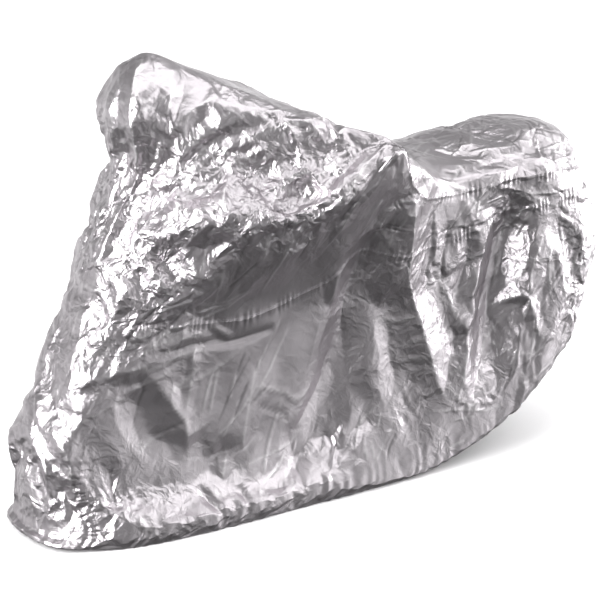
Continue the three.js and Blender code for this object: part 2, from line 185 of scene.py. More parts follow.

# %% [markdown]
# ## Folds and creases
# A fold is a line on the cloth that is lifted, or sunk, and falls away to nothing at its reach. The main
# folds are the solids' own. The creases are finer, and were placed region by region: the facets of
# the nose, the hollow under the shoulder, the pocket under the widest place, the long drapes of the tail. The
# other side gets the same kinds of crease, each one shifted by a seeded draw, because no cloth folds twice
# alike.

# %% Main folds
# Columns: places (station, level) that the fold runs through, rise in mm, reach in mm, sharp crest
LEFT_FOLDS = [
    ([(6.8, 4.1), (6.55, 3.0), (6.45, 2.5), (6.05, 2.05), (5.4, 1.7)], -40, 110, False),
    ([(7.0, 3.7), (6.95, 2.7), (7.3, 2.2), (7.8, 1.5)], 16, 70, False),
    ([(7.15, 3.9), (7.4, 3.0), (7.9, 2.5), (8.5, 1.75)], 36, 110, True),
    ([(8.8, 3.6), (8.85, 3.0), (8.5, 2.4)], 18, 60, False),
    ([(9.35, 4.0), (9.3, 3.3), (9.1, 2.7), (8.95, 1.7)], -48, 90, False),
    ([(9.85, 3.2), (9.6, 2.8), (9.5, 2.4)], 14, 55, True),
    ([(9.9, 3.2), (10.35, 2.85), (10.5, 2.3)], -16, 55, False),
    ([(1.4, 3.7), (2.3, 3.65), (3.1, 3.75), (3.5, 3.85)], -34, 80, False),
    ([(3.65, 4.3), (3.95, 4.55), (4.25, 4.75)], -28, 70, False),
    ([(4.25, 4.7), (4.2, 4.2), (3.7, 3.7)], -18, 60, False),
    ([(5.35, 4.95), (5.0, 4.6), (4.6, 4.15), (4.3, 3.95)], 15, 50, True),
    ([(0.8, 4.7), (1.95, 4.85), (3.0, 5.05), (3.8, 5.4)], 14, 65, True),
    ([(4.0, 5.5), (4.6, 5.8)], 10, 60, True),
    ([(1.3, 6.1), (2.2, 5.9), (3.2, 6.0)], -18, 110, False),
    ([(0.95, 5.0), (0.75, 4.5), (0.75, 4.0), (0.6, 3.3)], 14, 60, True),
    ([(1.0, 6.9), (1.0, 6.2), (0.95, 5.4), (0.9, 4.8)], 16, 50, True),
    ([(0.2, 3.3), (0.7, 2.9), (1.3, 2.6)], 16, 65, True),
    ([(0.45, 3.85), (1.1, 3.65), (1.65, 3.4), (2.1, 3.05)], 16, 50, True),
    ([(0.1, 2.6), (0.7, 2.35), (1.5, 2.2)], -20, 65, False),
    ([(0.15, 2.3), (0.7, 2.15), (1.35, 1.9), (1.8, 1.5)], -17, 50, False),
    ([(2.3, 2.75), (2.9, 2.4), (3.7, 2.15), (4.5, 2.1)], -12, 70, False),
    ([(2.75, 2.7), (3.5, 2.42), (3.75, 2.1)], 13, 45, True),
    ([(8.65, 2.45), (8.6, 2.3), (8.55, 2.1), (8.45, 1.85)], 15, 50, True),
    ([(4.5, 2.95), (4.3, 2.6), (4.35, 2.2), (4.6, 1.9)], 9, 55, True),
    ([(12.4, 3.8), (12.6, 3.0), (12.3, 2.2)], -16, 60, False),
    ([(1.6, 1.3), (3.0, 1.4), (4.4, 1.5), (5.8, 1.4)], 16, 85, False),
    ([(5.2, 1.55), (6.3, 1.45), (7.4, 1.55), (8.6, 1.65)], 28, 95, False),
]
RIGHT_FOLDS = [
    ([(6.5, 3.9), (6.2, 3.0), (6.0, 2.4), (5.3, 1.9)], -38, 75, False),
    ([(7.4, 3.8), (7.3, 2.8), (7.7, 2.0)], 20, 70, False),
    ([(9.0, 3.8), (8.8, 2.9), (8.9, 2.0)], -40, 65, False),
    ([(9.8, 3.6), (9.6, 2.8), (9.9, 2.2)], 18, 60, False),
    ([(2.1, 3.65), (2.8, 3.6), (3.8, 3.7)], -26, 70, False),
    ([(3.8, 4.2), (4.3, 4.6)], -26, 60, True),
    ([(0.9, 4.8), (2.2, 4.9), (3.4, 5.2), (4.6, 5.6)], 13, 65, True),
    ([(2.2, 2.5), (3.2, 2.3), (4.6, 2.2)], -20, 70, False),
    ([(3.6, 3.0), (3.9, 2.4), (4.1, 2.0)], 9, 60, True),
    ([(12.0, 3.6), (12.2, 2.6)], 14, 60, False),
    ([(3.6, 1.5), (5.0, 1.5), (6.4, 1.55), (7.8, 1.6)], 20, 80, False),
]

# %% Creases
# Columns: places (station, level), rise in mm, reach in mm. Every crease has a sharp crest.
SCREEN_CREASES = [
    ([(0.35, 6.6), (0.2, 6.0), (0.25, 5.3)], 6, 22),
    ([(1.15, 6.35), (1.2, 6.1)], 4, 12),
    ([(1.0, 6.5), (1.4, 6.9)], 4, 14),
    ([(2.45, 6.45), (2.25, 6.1), (2.05, 5.95)], 7, 20),
    ([(3.3, 6.2), (2.7, 5.9), (2.0, 5.55)], 7, 22),
    ([(3.75, 5.95), (3.3, 5.7), (2.65, 5.45), (2.05, 5.3)], 7, 20),
    ([(4.4, 5.9), (3.75, 5.6), (3.3, 5.4), (2.5, 5.1)], 6, 18),
    ([(2.8, 6.75), (3.4, 6.4), (3.9, 6.3)], 6, 24),
    ([(4.9, 6.1), (4.2, 5.75), (3.6, 5.3)], 6, 20),
]
SHOULDER_CREASES = [
    ([(2.4, 4.55), (3.0, 4.62)], -7, 16),
    ([(1.9, 4.25), (2.5, 4.05)], -7, 18),
    ([(1.1, 4.6), (1.5, 4.3), (1.7, 4.0)], 8, 22),
    ([(2.2, 4.75), (2.35, 4.35), (2.2, 4.0)], 7, 20),
    ([(3.1, 4.9), (3.0, 4.5), (3.15, 4.1)], 7, 22),
    ([(2.6, 4.4), (2.75, 4.05)], 6, 16),
    ([(3.5, 4.95), (3.35, 4.5)], 6, 18),
    ([(4.8, 5.3), (4.5, 5.0), (4.5, 4.7)], 7, 22),
    ([(5.6, 4.5), (5.0, 3.9), (4.7, 3.6)], -12, 50),
    ([(3.6, 4.3), (3.7, 4.6), (3.95, 4.95), (4.1, 5.0), (4.35, 4.85)], 13, 30),
    ([(3.85, 4.35), (4.35, 3.9)], 5, 12),
    ([(4.0, 4.45), (4.4, 4.15)], 5, 12),
    ([(3.85, 4.25), (4.1, 3.85)], 5, 12),
    ([(3.75, 3.85), (3.8, 3.5)], 6, 18),
]
NOSE_CREASES = [
    ([(1.15, 4.0), (1.55, 3.8), (2.3, 3.45), (2.6, 3.25)], 9, 26),
    ([(2.5, 3.7), (2.85, 3.55), (3.0, 3.35)], 11, 28),
    ([(3.15, 3.9), (3.55, 3.75)], 4, 10),
    ([(2.5, 3.4), (2.85, 3.3)], 4, 10),
    ([(0.9, 3.95), (1.75, 3.6), (2.15, 3.2)], -14, 35),
    ([(1.95, 3.8), (2.5, 3.5), (2.8, 3.25)], -12, 35),
    ([(2.8, 3.95), (3.2, 3.65)], -10, 35),
    ([(0.0, 3.3), (0.4, 3.42), (1.2, 3.35)], 9, 26),
    ([(0.7, 3.38), (1.05, 3.15), (1.3, 3.0)], -9, 24),
    ([(1.1, 3.15), (1.4, 3.25), (1.7, 3.42)], 9, 24),
    ([(1.7, 3.42), (1.8, 3.25), (2.05, 3.15)], -7, 20),
    ([(0.65, 2.98), (1.15, 2.75)], -6, 15),
    ([(0.7, 2.88), (1.85, 2.93)], 8, 30),
    ([(1.0, 2.58), (1.75, 2.65), (2.2, 2.7), (2.75, 2.72)], 9, 22),
    ([(1.0, 2.5), (1.8, 2.55)], -7, 20),
    ([(0.2, 2.55), (0.5, 2.45), (0.75, 2.35)], 11, 26),
    ([(0.0, 2.5), (0.6, 2.35), (1.05, 2.38), (1.6, 2.4)], -13, 30),
    ([(0.4, 2.4), (1.0, 2.2), (1.7, 2.05), (1.95, 1.5)], 11, 35),
    ([(0.3, 1.9), (1.0, 1.4)], -12, 45),
]
SIDE_CREASES = [
    ([(2.1, 2.92), (2.55, 2.95)], 4, 10),
    ([(2.55, 2.8), (3.3, 2.85), (4.4, 2.85)], -4, 11),
    ([(3.3, 2.85), (3.4, 2.7), (3.5, 2.45)], 5, 14),
    ([(3.4, 3.0), (3.9, 2.85)], 4, 11),
    ([(2.35, 2.75), (2.75, 2.6), (2.8, 2.4), (3.2, 2.2)], -9, 45),
    ([(3.75, 2.35), (4.1, 2.1), (4.1, 1.9)], -8, 45),
    ([(4.2, 2.1), (4.15, 1.9)], 8, 25),
    ([(2.6, 2.15), (2.75, 1.6)], -9, 26),
    ([(4.75, 3.35), (4.85, 3.6), (5.0, 4.0)], 6, 22),
    ([(5.95, 3.3), (6.0, 3.5), (6.15, 3.6)], 6, 18),
    ([(6.6, 3.3), (6.7, 3.6)], 6, 18),
    ([(5.45, 3.05), (5.6, 2.8)], 7, 18),
    ([(5.0, 2.2), (5.3, 1.9), (5.2, 1.5)], -8, 26),
    ([(6.4, 1.95), (6.7, 1.5)], -8, 24),
]
TAIL_CREASES = [
    ([(8.2, 3.6), (8.1, 3.1), (8.2, 2.85)], -9, 26),
    ([(8.2, 2.95), (8.3, 2.8), (8.45, 2.6), (8.65, 2.5)], 11, 26),
    ([(7.9, 2.75), (7.65, 2.6)], 5, 14),
    ([(8.35, 2.4), (8.6, 2.5)], -7, 16),
    ([(8.65, 3.05), (8.75, 2.75)], 7, 18),
    ([(9.2, 2.6), (9.5, 2.65)], 8, 16),
    ([(9.5, 2.65), (9.6, 2.5), (9.75, 2.15)], 8, 18),
    ([(10.4, 5.8), (10.0, 5.0), (9.8, 4.4), (9.85, 3.7)], 9, 30),
    ([(9.5, 4.8), (9.4, 4.2), (9.3, 3.8)], -9, 30),
    ([(7.1, 4.9), (7.5, 4.4), (7.8, 4.15)], 8, 25),
    ([(7.2, 4.6), (7.4, 4.2), (7.35, 3.9)], -9, 25),
    ([(8.6, 6.4), (8.75, 5.8)], 5, 16),
    ([(9.3, 6.6), (9.7, 5.6)], 4, 18),
    ([(11.2, 3.6), (11.4, 2.9), (11.2, 2.2)], 10, 30),
    ([(11.9, 3.4), (12.1, 2.6)], -9, 30),
]
LEFT_CREASES = SCREEN_CREASES + SHOULDER_CREASES + NOSE_CREASES + SIDE_CREASES + TAIL_CREASES
CREASE_LOW = 1.3  # the levels between which shifted creases stay
CREASE_HIGH = 6.9


def shifted(creases, seed, along=0.35, up=0.14, rises=(0.6, 1.1)):
    """The same creases with each place moved by a uniform draw, and each rise scaled by one."""
    draw = np.random.default_rng(seed)
    moved = []
    for places, rise, reach in creases:
        shift = draw.uniform([-along, -up], [along, up])
        places = np.clip(np.array(places) + shift, [0, CREASE_LOW], [REAR, CREASE_HIGH])
        moved.append((places, rise * draw.uniform(*rises), reach))
    return moved


print(len(LEFT_CREASES), "creases placed on the left side")

# %% Folds on the cloth
def crest_line(places, side, steps=6):
    """A fold's crest on the unfolded cloth: its places joined by straight runs in station and level, each cut
    into equal steps. On the right side stations count backwards."""
    places = np.array(places, float)
    at = np.linspace(0, len(places) - 1, steps * (len(places) - 1) + 1)
    station = np.interp(at, np.arange(len(places)), places[:, 0])
    level = np.interp(at, np.arange(len(places)), places[:, 1])
    return base_points(station if side < 0 else AROUND - station, level[:, None])[:, 0]


def nearest(points, line):
    """Distance from points (n x 3) to a line of straight runs, and the length along it to the nearest."""
    start, run = line[:-1], np.diff(line, axis=0)
    length = np.linalg.norm(run, axis=1)
    share = ((points[:, None] - start) * run).sum(-1) / length**2
    share = share.clip(0, 1)
    away = np.linalg.norm(points[:, None] - start - share[..., None] * run, axis=-1)
    best = away.argmin(axis=1)
    row = np.arange(len(points))
    return away[row, best], (np.cumsum(length) - length)[best] + share[row, best] * length[best]


FLANK = 1.15  # 1 is a tent, 2 a curved flank
RUN_OUT = 0.35  # share of a fold's length in which it rises from its end
CREASE_TALLER = 1.25  # than in the tables, so that they outlast the settling
CREASE_WIDER = 1.7
CREST_WIDTH = 0.0065  # half-width of the line along a crest in which a highlight is painted on a ridge and a shade in a trough
BLOCK = 400  # points tried together
FOLD_LINES = [(crest_line(places, side), rise / 1000, reach / 1000, sharp)
              for side, folds in ((-1, LEFT_FOLDS), (1, RIGHT_FOLDS)) for places, rise, reach, sharp in folds]
FOLD_LINES += [(crest_line(places, side), rise * CREASE_TALLER / 1000, reach * CREASE_WIDER / 1000, True)
               for side, creases in ((-1, LEFT_CREASES), (1, shifted(LEFT_CREASES, seed=11)))
               for places, rise, reach in creases]


def fold_rise(points, lines):
    """Sum of the folds at points (n x 3), and how near a crest each is: to 1 on a ridge, to -1 in a trough.
    With r the distance over the reach, a sharp fold is rise (1 - r) to the power of its flank, almost a tent,
    and a soft one rise (1 - r squared) squared. Each fold runs out to nothing at both ends of its line.
    Points are tried in blocks, so that far ones cost nothing."""
    rise = np.zeros(len(points))
    crest = np.zeros(len(points))
    starts = np.arange(0, len(points), BLOCK)
    block_low = np.minimum.reduceat(points, starts)
    block_high = np.maximum.reduceat(points, starts)
    for line, height, reach, sharp in lines:
        low, high = line.min(0) - reach, line.max(0) + reach
        touched = starts[((block_high > low) & (block_low < high)).all(axis=1)]
        near = (touched[:, None] + np.arange(BLOCK)).ravel()
        near = near[near < len(points)]
        inside = near[((points[near] > low) & (points[near] < high)).all(axis=1)]
        away, along = nearest(points[inside], line)
        r = (away / reach).clip(0, 1)
        length = np.linalg.norm(np.diff(line, axis=0), axis=1).sum()
        end = (np.minimum(along, length - along) / (RUN_OUT * length)).clip(0, 1)
        run_out = end * (2 - end)
        rise[inside] += height * run_out * ((1 - r) ** FLANK if sharp else (1 - r**2) ** 2)
        if sharp:
            # The crest share paints a highlight into the film's colour along a ridge and a shade along a trough
            mark = np.sign(height) * run_out * (1 - away / CREST_WIDTH).clip(0)
            crest[inside] = np.where(np.abs(mark) > np.abs(crest[inside]), mark, crest[inside])
    return rise, crest


print(len(FOLD_LINES), "folds and creases")

# %% [markdown]
# ## Crumples
# Coated cloth that was packed flat never lies smooth again: it breaks into small flat facets with sharp
# edges. Ordinary noise is too round for that. Here the space is cut into tetrahedra, each corner gets a
# random height, and the height runs straight between them, which gives flat facets at three sizes. They are
# the seeds from which the cloth buckles when it settles. A small table says how crumpled each region is: most
# at the nose and shoulder, least on the stretched side.

# %% Crumples
# Columns: size of a facet in m, height in mm, stretch along x, y and z
CRUMPLES = [(0.130, 6.5, (1.0, 1.0, 0.62)), (0.060, 3.4, (1.0, 1.0, 0.7)), (0.028, 1.2, (1.0, 1.0, 0.8))]
TABLE_SIDE = 32
HEIGHTS = np.random.default_rng(5).uniform(-1, 1, (len(CRUMPLES), TABLE_SIDE, TABLE_SIDE, TABLE_SIDE))
# A turn that keeps the cells off the axes
TILT = np.array([[0.80, 0.36, -0.48], [-0.60, 0.48, -0.64], [0.0, 0.80, 0.60]])
BEND_SIZE = 3.1  # cells to one wave of the bent lattice
BEND = 0.42  # of a cell
PATCH_SIZE = 0.26
PATCH_MEAN = 0.85
PATCH_SPREAD = 0.7
# How crumpled the cloth is: a row for a station, with a column for each level from the hem to the crown
CRUMPLED_STATIONS = np.array([0, 2, 4, 6, 8, 10, 13.0])
CRUMPLED = np.array([
    [0.4, 0.5, 0.75, 0.85, 0.8, 0.75, 0.7, 0.6],
    [0.4, 0.5, 0.8, 0.95, 0.95, 0.9, 0.8, 0.65],
    [0.4, 0.4, 0.25, 0.25, 0.95, 0.9, 0.8, 0.65],
    [0.4, 0.4, 0.25, 0.25, 0.5, 0.75, 0.7, 0.6],
    [0.5, 0.6, 0.6, 0.5, 0.5, 0.6, 0.6, 0.55],
    [0.55, 0.7, 0.8, 0.7, 0.65, 0.6, 0.6, 0.55],
    [0.4, 0.6, 0.8, 0.75, 0.7, 0.6, 0.6, 0.55],
])


def facet_height(points, size, stretch, heights):
    """Heights that run straight inside tetrahedra: in a cell, the coordinates' shares are sorted, and the
    height is a weighted sum of the corners met on the way from the cell's low corner to its high one, each
    step taking the largest share left."""
    cell = (points * stretch) @ TILT.T / size
    turn = cell[:, [1, 2, 0]] / BEND_SIZE
    cell = cell + BEND * (4 * np.abs(turn - np.floor(turn + 0.5)) - 1)
    corner = np.floor(cell).astype(int)
    share = cell - corner
    order = np.argsort(-share, axis=1)
    ranked = np.take_along_axis(share, order, axis=1)
    weight = -np.diff(ranked, axis=1, prepend=1, append=0)
    total = weight[:, 0] * heights[tuple((corner % TABLE_SIDE).T)]
    for k in range(3):
        corner = corner + (order[:, k, None] == np.arange(3))
        total += weight[:, k + 1] * heights[tuple((corner % TABLE_SIDE).T)]
    return total


def crumpled_share(station, level):
    """The table above, read between its rows and columns in straight lines."""
    side = np.minimum(station % AROUND, AROUND - station % AROUND)
    row = np.interp(side, CRUMPLED_STATIONS, np.arange(len(CRUMPLED_STATIONS)))
    low = np.minimum(row.astype(int), len(CRUMPLED) - 2)
    f = (row - low)[:, None]
    rows = CRUMPLED[low] * (1 - f) + CRUMPLED[low + 1] * f
    step = np.clip(level.astype(int), 0, CROWN - 1)
    index = np.arange(len(station))[:, None]
    return rows[index, step] + (rows[index, step + 1] - rows[index, step]) * (level - step)


def crumple_patches(points):
    """Wide facets that say where the cloth is crumpled most."""
    return PATCH_MEAN + PATCH_SPREAD * facet_height(points, PATCH_SIZE, np.ones(3), HEIGHTS[0])


def crumple_rise(points):
    """Sum of the facets of every size, in metres."""
    return sum(height / 1000 * facet_height(points, size, stretch, table)
               for (size, height, stretch), table in zip(CRUMPLES, HEIGHTS))


print("facets of", [f"{size * 1000:.0f} mm" for size, _, _ in CRUMPLES])

# %% [markdown]
# ## Small creases
# Between the placed creases lie hundreds of short straight ones, in clusters that share a direction, where a
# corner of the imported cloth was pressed. They are drawn by seeded chance: clusters are spread evenly over the
# cloth, fewer where it is stretched, and each has a handful of creases about as long as a finger. Along the
# foot the gathered hem throws short upright pleats.

# %% Small creases and pleats
LOOP_PLACES = 1000  # tried when clusters are spread by length
CLUSTERS = 260
CLUSTER_LEVELS = [1.6, 2.2, 2.5, 2.8, 3.2, 3.6, 4.2, 4.8, 5.4, 6.0, 6.6]
CLUSTER_SHIFT = 0.2  # in levels, up or down from those
CLUSTER_KEPT = (0.1, 0.8)  # chance on smooth cloth, and what full crumpling adds
CLUSTER_SIZE = (3, 7)
CLUSTER_SPREAD = 0.055
CLUSTER_ANGLE = (1.1, 0.7)  # in radians from the run along: mean and spread
SMALL_ANGLE = 0.3  # spread of the angle inside a cluster
SMALL_LENGTH = (0.05, 0.22)
MIDDLE_SHIFT = (0.12, 0.04)  # of a crease's length, along it and across it
SMALL_LEVELS = (0.8, 6.95)
LEAST_STATION = 0.05  # metres taken for one station near the front and rear points
SMALL_RISE = (0.0008, 0.0026)
SMALL_REACH = (0.005, 0.010)
RIDGE_SHARE = 0.7  # the rest are troughs
PLEATS = 46
PLEAT_RISE = (-0.010, 0.010)
PLEAT_REACH = (0.016, 0.040)
PLEAT_TOPS = (1.2, 2.3)  # levels
PLEAT_LEAN = 0.12  # stations to one level


def small_creases(seed):
    """Clusters at even chance over the cloth's lengths, kept by how crumpled their place is, with a few
    creases each: a direction near the cluster's, and a middle point a little off the straight line."""
    draw = np.random.default_rng(seed)
    loop = np.linspace(0, AROUND, LOOP_PLACES)
    length = lengths_along(base_points(loop, np.full((LOOP_PLACES, 1), 3.0))[:, 0])
    station = np.interp(draw.uniform(0, length[-1], CLUSTERS), length, loop)
    level = draw.choice(CLUSTER_LEVELS, CLUSTERS) + draw.uniform(-CLUSTER_SHIFT, CLUSTER_SHIFT, CLUSTERS)
    least, more = CLUSTER_KEPT
    kept = draw.uniform(0, 1, CLUSTERS) < least + more * crumpled_share(station, level[:, None])[:, 0]
    count = draw.integers(CLUSTER_SIZE[0], CLUSTER_SIZE[1] + 1, CLUSTERS)[kept]
    station, level = np.repeat(station[kept], count), np.repeat(level[kept], count)
    shared_angle = np.repeat(draw.normal(*CLUSTER_ANGLE, CLUSTERS)[kept], count)
    angle = shared_angle + draw.normal(0, SMALL_ANGLE, len(station))
    per_station, per_level = metres_per_step(station, level, step=0.02)
    per_station = np.maximum(per_station, LEAST_STATION)
    spread = draw.normal(0, CLUSTER_SPREAD, (len(station), 2))
    long = draw.uniform(*SMALL_LENGTH, len(station))
    ends = np.stack([-long / 2, draw.normal(0, MIDDLE_SHIFT[0], len(station)) * long, long / 2], axis=1)
    across = np.stack([0 * long, draw.normal(0, MIDDLE_SHIFT[1], len(station)) * long, 0 * long], axis=1)
    u = spread[:, :1] + ends * np.cos(angle)[:, None] - across * np.sin(angle)[:, None]
    v = spread[:, 1:] + ends * np.sin(angle)[:, None] + across * np.cos(angle)[:, None]
    at_station = station[:, None] + u / per_station[:, None]
    at_level = (level[:, None] + v / per_level[:, None]).clip(*SMALL_LEVELS)
    lines = base_points(at_station.ravel(), at_level.reshape(-1, 1)).reshape(-1, 3, 3)
    rise = draw.uniform(*SMALL_RISE, len(lines))
    rise *= np.where(draw.uniform(0, 1, len(lines)) < RIDGE_SHARE, 1, -1)
    return list(zip(lines, rise, draw.uniform(*SMALL_REACH, len(lines)), [True] * len(lines)))


def foot_pleats(seed):
    """Upright folds at uneven stations along the foot, from just over the hem to the waist."""
    draw = np.random.default_rng(seed)
    station = np.sort(draw.uniform(0, AROUND, PLEATS))
    lean = draw.normal(0, PLEAT_LEAN, PLEATS)
    top = draw.uniform(*PLEAT_TOPS, PLEATS)
    level = np.linspace(0.1, 1, 6) * top[:, None]
    along = station[:, None] + lean[:, None] * level
    lines = base_points(along.ravel(), level.reshape(-1, 1)).reshape(PLEATS, 6, 3)
    rise = draw.uniform(*PLEAT_RISE, PLEATS)
    return list(zip(lines, rise, draw.uniform(*PLEAT_REACH, PLEATS), [True] * PLEATS))


SMALL_LINES = small_creases(seed=8)
PLEAT_LINES = foot_pleats(seed=14)
print(len(SMALL_LINES), "small creases,", len(PLEAT_LINES), "pleats")

# %% [markdown]
# ## Settling the cloth
# Drawn folds alone look modelled: real cloth buckles between them. So the folded shape is made once as a
# coarse bag and given to the cloth simulation. Each thread of the bag wants to be a few hundredths longer
# than it is, most where the cloth is crumpled, and a weak spring holds every point near its place. The cloth
# has nowhere to go but out of its plane, and in a few frames it breaks into the ridges of a coated sheet.

# %% Spacing the bag
BAG_STEP = 0.0095
FINE_STATIONS = 1200  # tried when stations or levels are spaced by length
FINE_LEVELS = 701


def even_stations(start, end, level, step):
    """Stations from start to end at equal lengths along one level line."""
    fine = np.linspace(start, end, FINE_STATIONS)
    length = lengths_along(base_points(fine, np.full((FINE_STATIONS, 1), level))[:, 0])
    return np.interp(np.linspace(0, length[-1], int(length[-1] / step) + 1), length, fine)


def even_levels(step):
    """Levels from the hem to the crown at lengths that are equal on the mean of all stations."""
    fine = np.linspace(0, CROWN, FINE_LEVELS)
    columns_tried = base_points(np.arange(1.0, REAR, 0.5), np.tile(fine, (2 * REAR - 2, 1)))
    length = np.linalg.norm(np.diff(columns_tried, axis=1), axis=2).mean(axis=0).cumsum()
    length = np.concatenate([[0], length])
    return np.interp(np.linspace(0, length[-1], int(length[-1] / step) + 1), length, fine)


def bag_grid(step):
    """Stations round the whole loop and levels from the hem to the crown, a step apart."""
    left = even_stations(0, REAR, level=3.0, step=step)
    return np.concatenate([left, AROUND - left[-2:0:-1]]), even_levels(step)


print("a bag of", " x ".join(str(len(part)) for part in bag_grid(BAG_STEP)), "points")

# %% Settling the cloth
BAG_FRAMES = 14
GROWTH = (0.003, 0.032)  # of each length, on smooth and on crumpled cloth
GROWTH_POWER = 1.6  # of the crumpled share
HOLD = 0.02  # 1 would fix each point to its place
FOLDS_START = 0.6  # the levels between which folds grow from the gathered hem
FOLDS_FULL = 2.2
HEM_FOLDS = 0.25  # share of a fold that grows lower down
HEM_FOLDS_FULL = 1.2  # the level where it is full
FIXED_BELOW = 0.05  # the hem's level: its elastic doesn't move


def smooth_step(value, low, high):
    """0 below low, 1 above high, and 3 t squared - 2 t cubed between."""
    t = ((value - low) / (high - low)).clip(0, 1)
    return t * t * (3 - 2 * t)


def weight_group(made, name, weights):
    """A vertex group with a weight for each point, given to equal ones together."""
    group = made.vertex_groups.new(name=name)
    steps = np.round(weights * 100).astype(int)
    for step in np.unique(steps):
        group.add(np.flatnonzero(steps == step).tolist(), step / 100, "REPLACE")
    return name


def plain_object(name, points, faces):
    """An object with a mesh of points (n x 3) and faces (m x 3 or m x 4)."""
    mesh = bpy.data.meshes.new(name)
    mesh.from_pydata(points.tolist(), [], faces.tolist())
    return linked(name, mesh)


def settle(points, faces, crumpled, fixed):
    """Runs the cloth on a mesh and returns its points at the end."""
    bag = plain_object("bag", points, faces)
    cloth = bag.modifiers.new("cloth", "CLOTH")
    wanted = {"quality": 4, "mass": 0.1, "tension_stiffness": 80, "compression_stiffness": 80,
              "shear_stiffness": 20, "bending_stiffness": 0.004, "tension_damping": 5,
              "compression_damping": 5, "shear_damping": 5, "air_damping": 2, "pin_stiffness": 1,
              "shrink_min": -GROWTH[1], "shrink_max": -GROWTH[0],
              "vertex_group_mass": weight_group(bag, "held", np.where(fixed, 1.0, HOLD)),
              "vertex_group_shrink": weight_group(bag, "smooth", 1 - crumpled.clip(0, 1) ** GROWTH_POWER)}
    for name, value in wanted.items():
        setattr(cloth.settings, name, value)
    cloth.settings.effector_weights.gravity = 0
    cloth.collision_settings.use_collision = False
    cloth.point_cache.frame_end = BAG_FRAMES
    for frame_number in range(1, BAG_FRAMES + 1):
        bpy.context.scene.frame_set(frame_number)
    settled = np.empty(3 * len(points), np.float32)
    bag.evaluated_get(bpy.context.evaluated_depsgraph_get()).data.vertices.foreach_get("co", settled)
    bpy.data.meshes.remove(bag.data)
    bpy.context.scene.frame_set(1)
    return settled.reshape(-1, 3)


def settled_bag():
    """Stations and levels of the bag, and how far each of its points moved from the unfolded cloth. The
    crown's points belong to both sides."""
    station, level = bag_grid(BAG_STEP)
    grid = np.tile(level, (len(station), 1))
    base = base_points(station, grid)
    flat = base.reshape(-1, 3)
    crumpled = crumpled_share(station, grid).ravel() * crumple_patches(flat)
    rise = (fold_rise(flat, FOLD_LINES)[0] + crumple_rise(flat) * crumpled).reshape(grid.shape)
    low_share = HEM_FOLDS * smooth_step(grid, 0.0, HEM_FOLDS_FULL)
    rise *= smooth_step(grid, FOLDS_START, FOLDS_FULL) * (1 - HEM_FOLDS) + low_share
    folded = (base + rise[..., None] * base_outward(station, grid)).reshape(-1, 3)
    index = np.arange(grid.size).reshape(grid.shape)
    half = len(station) // 2
    index[half + 1:, -1] = index[half - 1:0:-1, -1]
    beside = np.roll(index, -1, axis=0)
    faces = np.stack([index[:, :-1], beside[:, :-1], beside[:, 1:], index[:, 1:]], axis=-1).reshape(-1, 4)
    used, same = np.unique(faces, return_inverse=True)
    settled = settle(folded[used], same.reshape(-1, 4), crumpled[used], grid.ravel()[used] < FIXED_BELOW)
    moved = np.linalg.norm(settled - folded[used], axis=-1)
    print("bag of", len(used), "points, moved", round(1000 * moved.mean(), 1), "mm on the mean")
    whole = np.empty_like(folded)
    whole[used] = settled
    return station, level, whole[index.ravel()].reshape(base.shape) - base


def settled_move(bag, station, level):
    """A bag's moves at stations (n) and levels (n x m): smooth curves along and up between its points. Past
    the crown the rows of the other side follow."""
    stations, levels, moves = bag
    count = len(stations)
    other = moves[-np.arange(count) % count]
    rows = np.concatenate([moves[:, :1], moves, other[:, -2:-4:-1]], axis=1)
    along = np.interp(station % AROUND, [*stations, AROUND], np.arange(count + 1))
    up = np.interp(level, levels, np.arange(len(levels)))
    column = np.floor(along).astype(int)
    row = np.minimum(np.floor(up).astype(int), len(levels) - 1)
    f, g = (along - column)[:, None, None], (up - row)[..., None]
    sides = [curve(*(rows[(column + k)[:, None] % count, row + j] for j in range(4)), g)
             for k in (-1, 0, 1, 2)]
    return curve(*sides, f)


COARSE_BAG = settled_bag()

# %% [markdown]
# ## Facets
# A coarse bag settles into round lumps, while a coated cloth breaks into flat facets with sharp edges. A
# filter for scanned meshes turns one into the other. It looks at the directions in which the cells of a finer
# grid face, and pulls each towards those around it that already point almost the same way. Places that nearly
# agree become one plane, and those that don't stay apart, as an edge. Then the points move onto the planes.

# %% Facets
FACET_STEP = 0.0048
FACET_ROUNDS = 10
FACET_CELLS = 3  # looked at to each side
FACET_ANGLE = 0.10  # in radians: directions further apart than this stay apart
FACET_FITS = 30  # times that the points move onto the planes


def facet_directions(points):
    """Outward directions of a grid's cells, made even: each becomes the mean of those around it, with a
    weight that falls as exp(-d squared) with their distance and with their difference."""
    beside = np.roll(points, -1, axis=0)
    own = unit(np.cross(beside[:, 1:] - points[:, :-1], points[:, 1:] - beside[:, :-1])).astype(np.float32)
    steps = range(-FACET_CELLS, FACET_CELLS + 1)
    for _ in range(FACET_ROUNDS):
        padded = np.pad(own, ((0, 0), (FACET_CELLS, FACET_CELLS), (0, 0)), mode="edge")
        total = np.zeros_like(own)
        for along, up in ((i, j) for i in steps for j in steps):
            first = FACET_CELLS + up
            other = np.roll(padded, along, axis=0)[:, first:first + own.shape[1]]
            apart = ((other - own) ** 2).sum(axis=-1) / FACET_ANGLE**2
            total += np.exp(-apart - (along**2 + up**2) / FACET_CELLS**2)[..., None] * other
        own = unit(total)
    return own


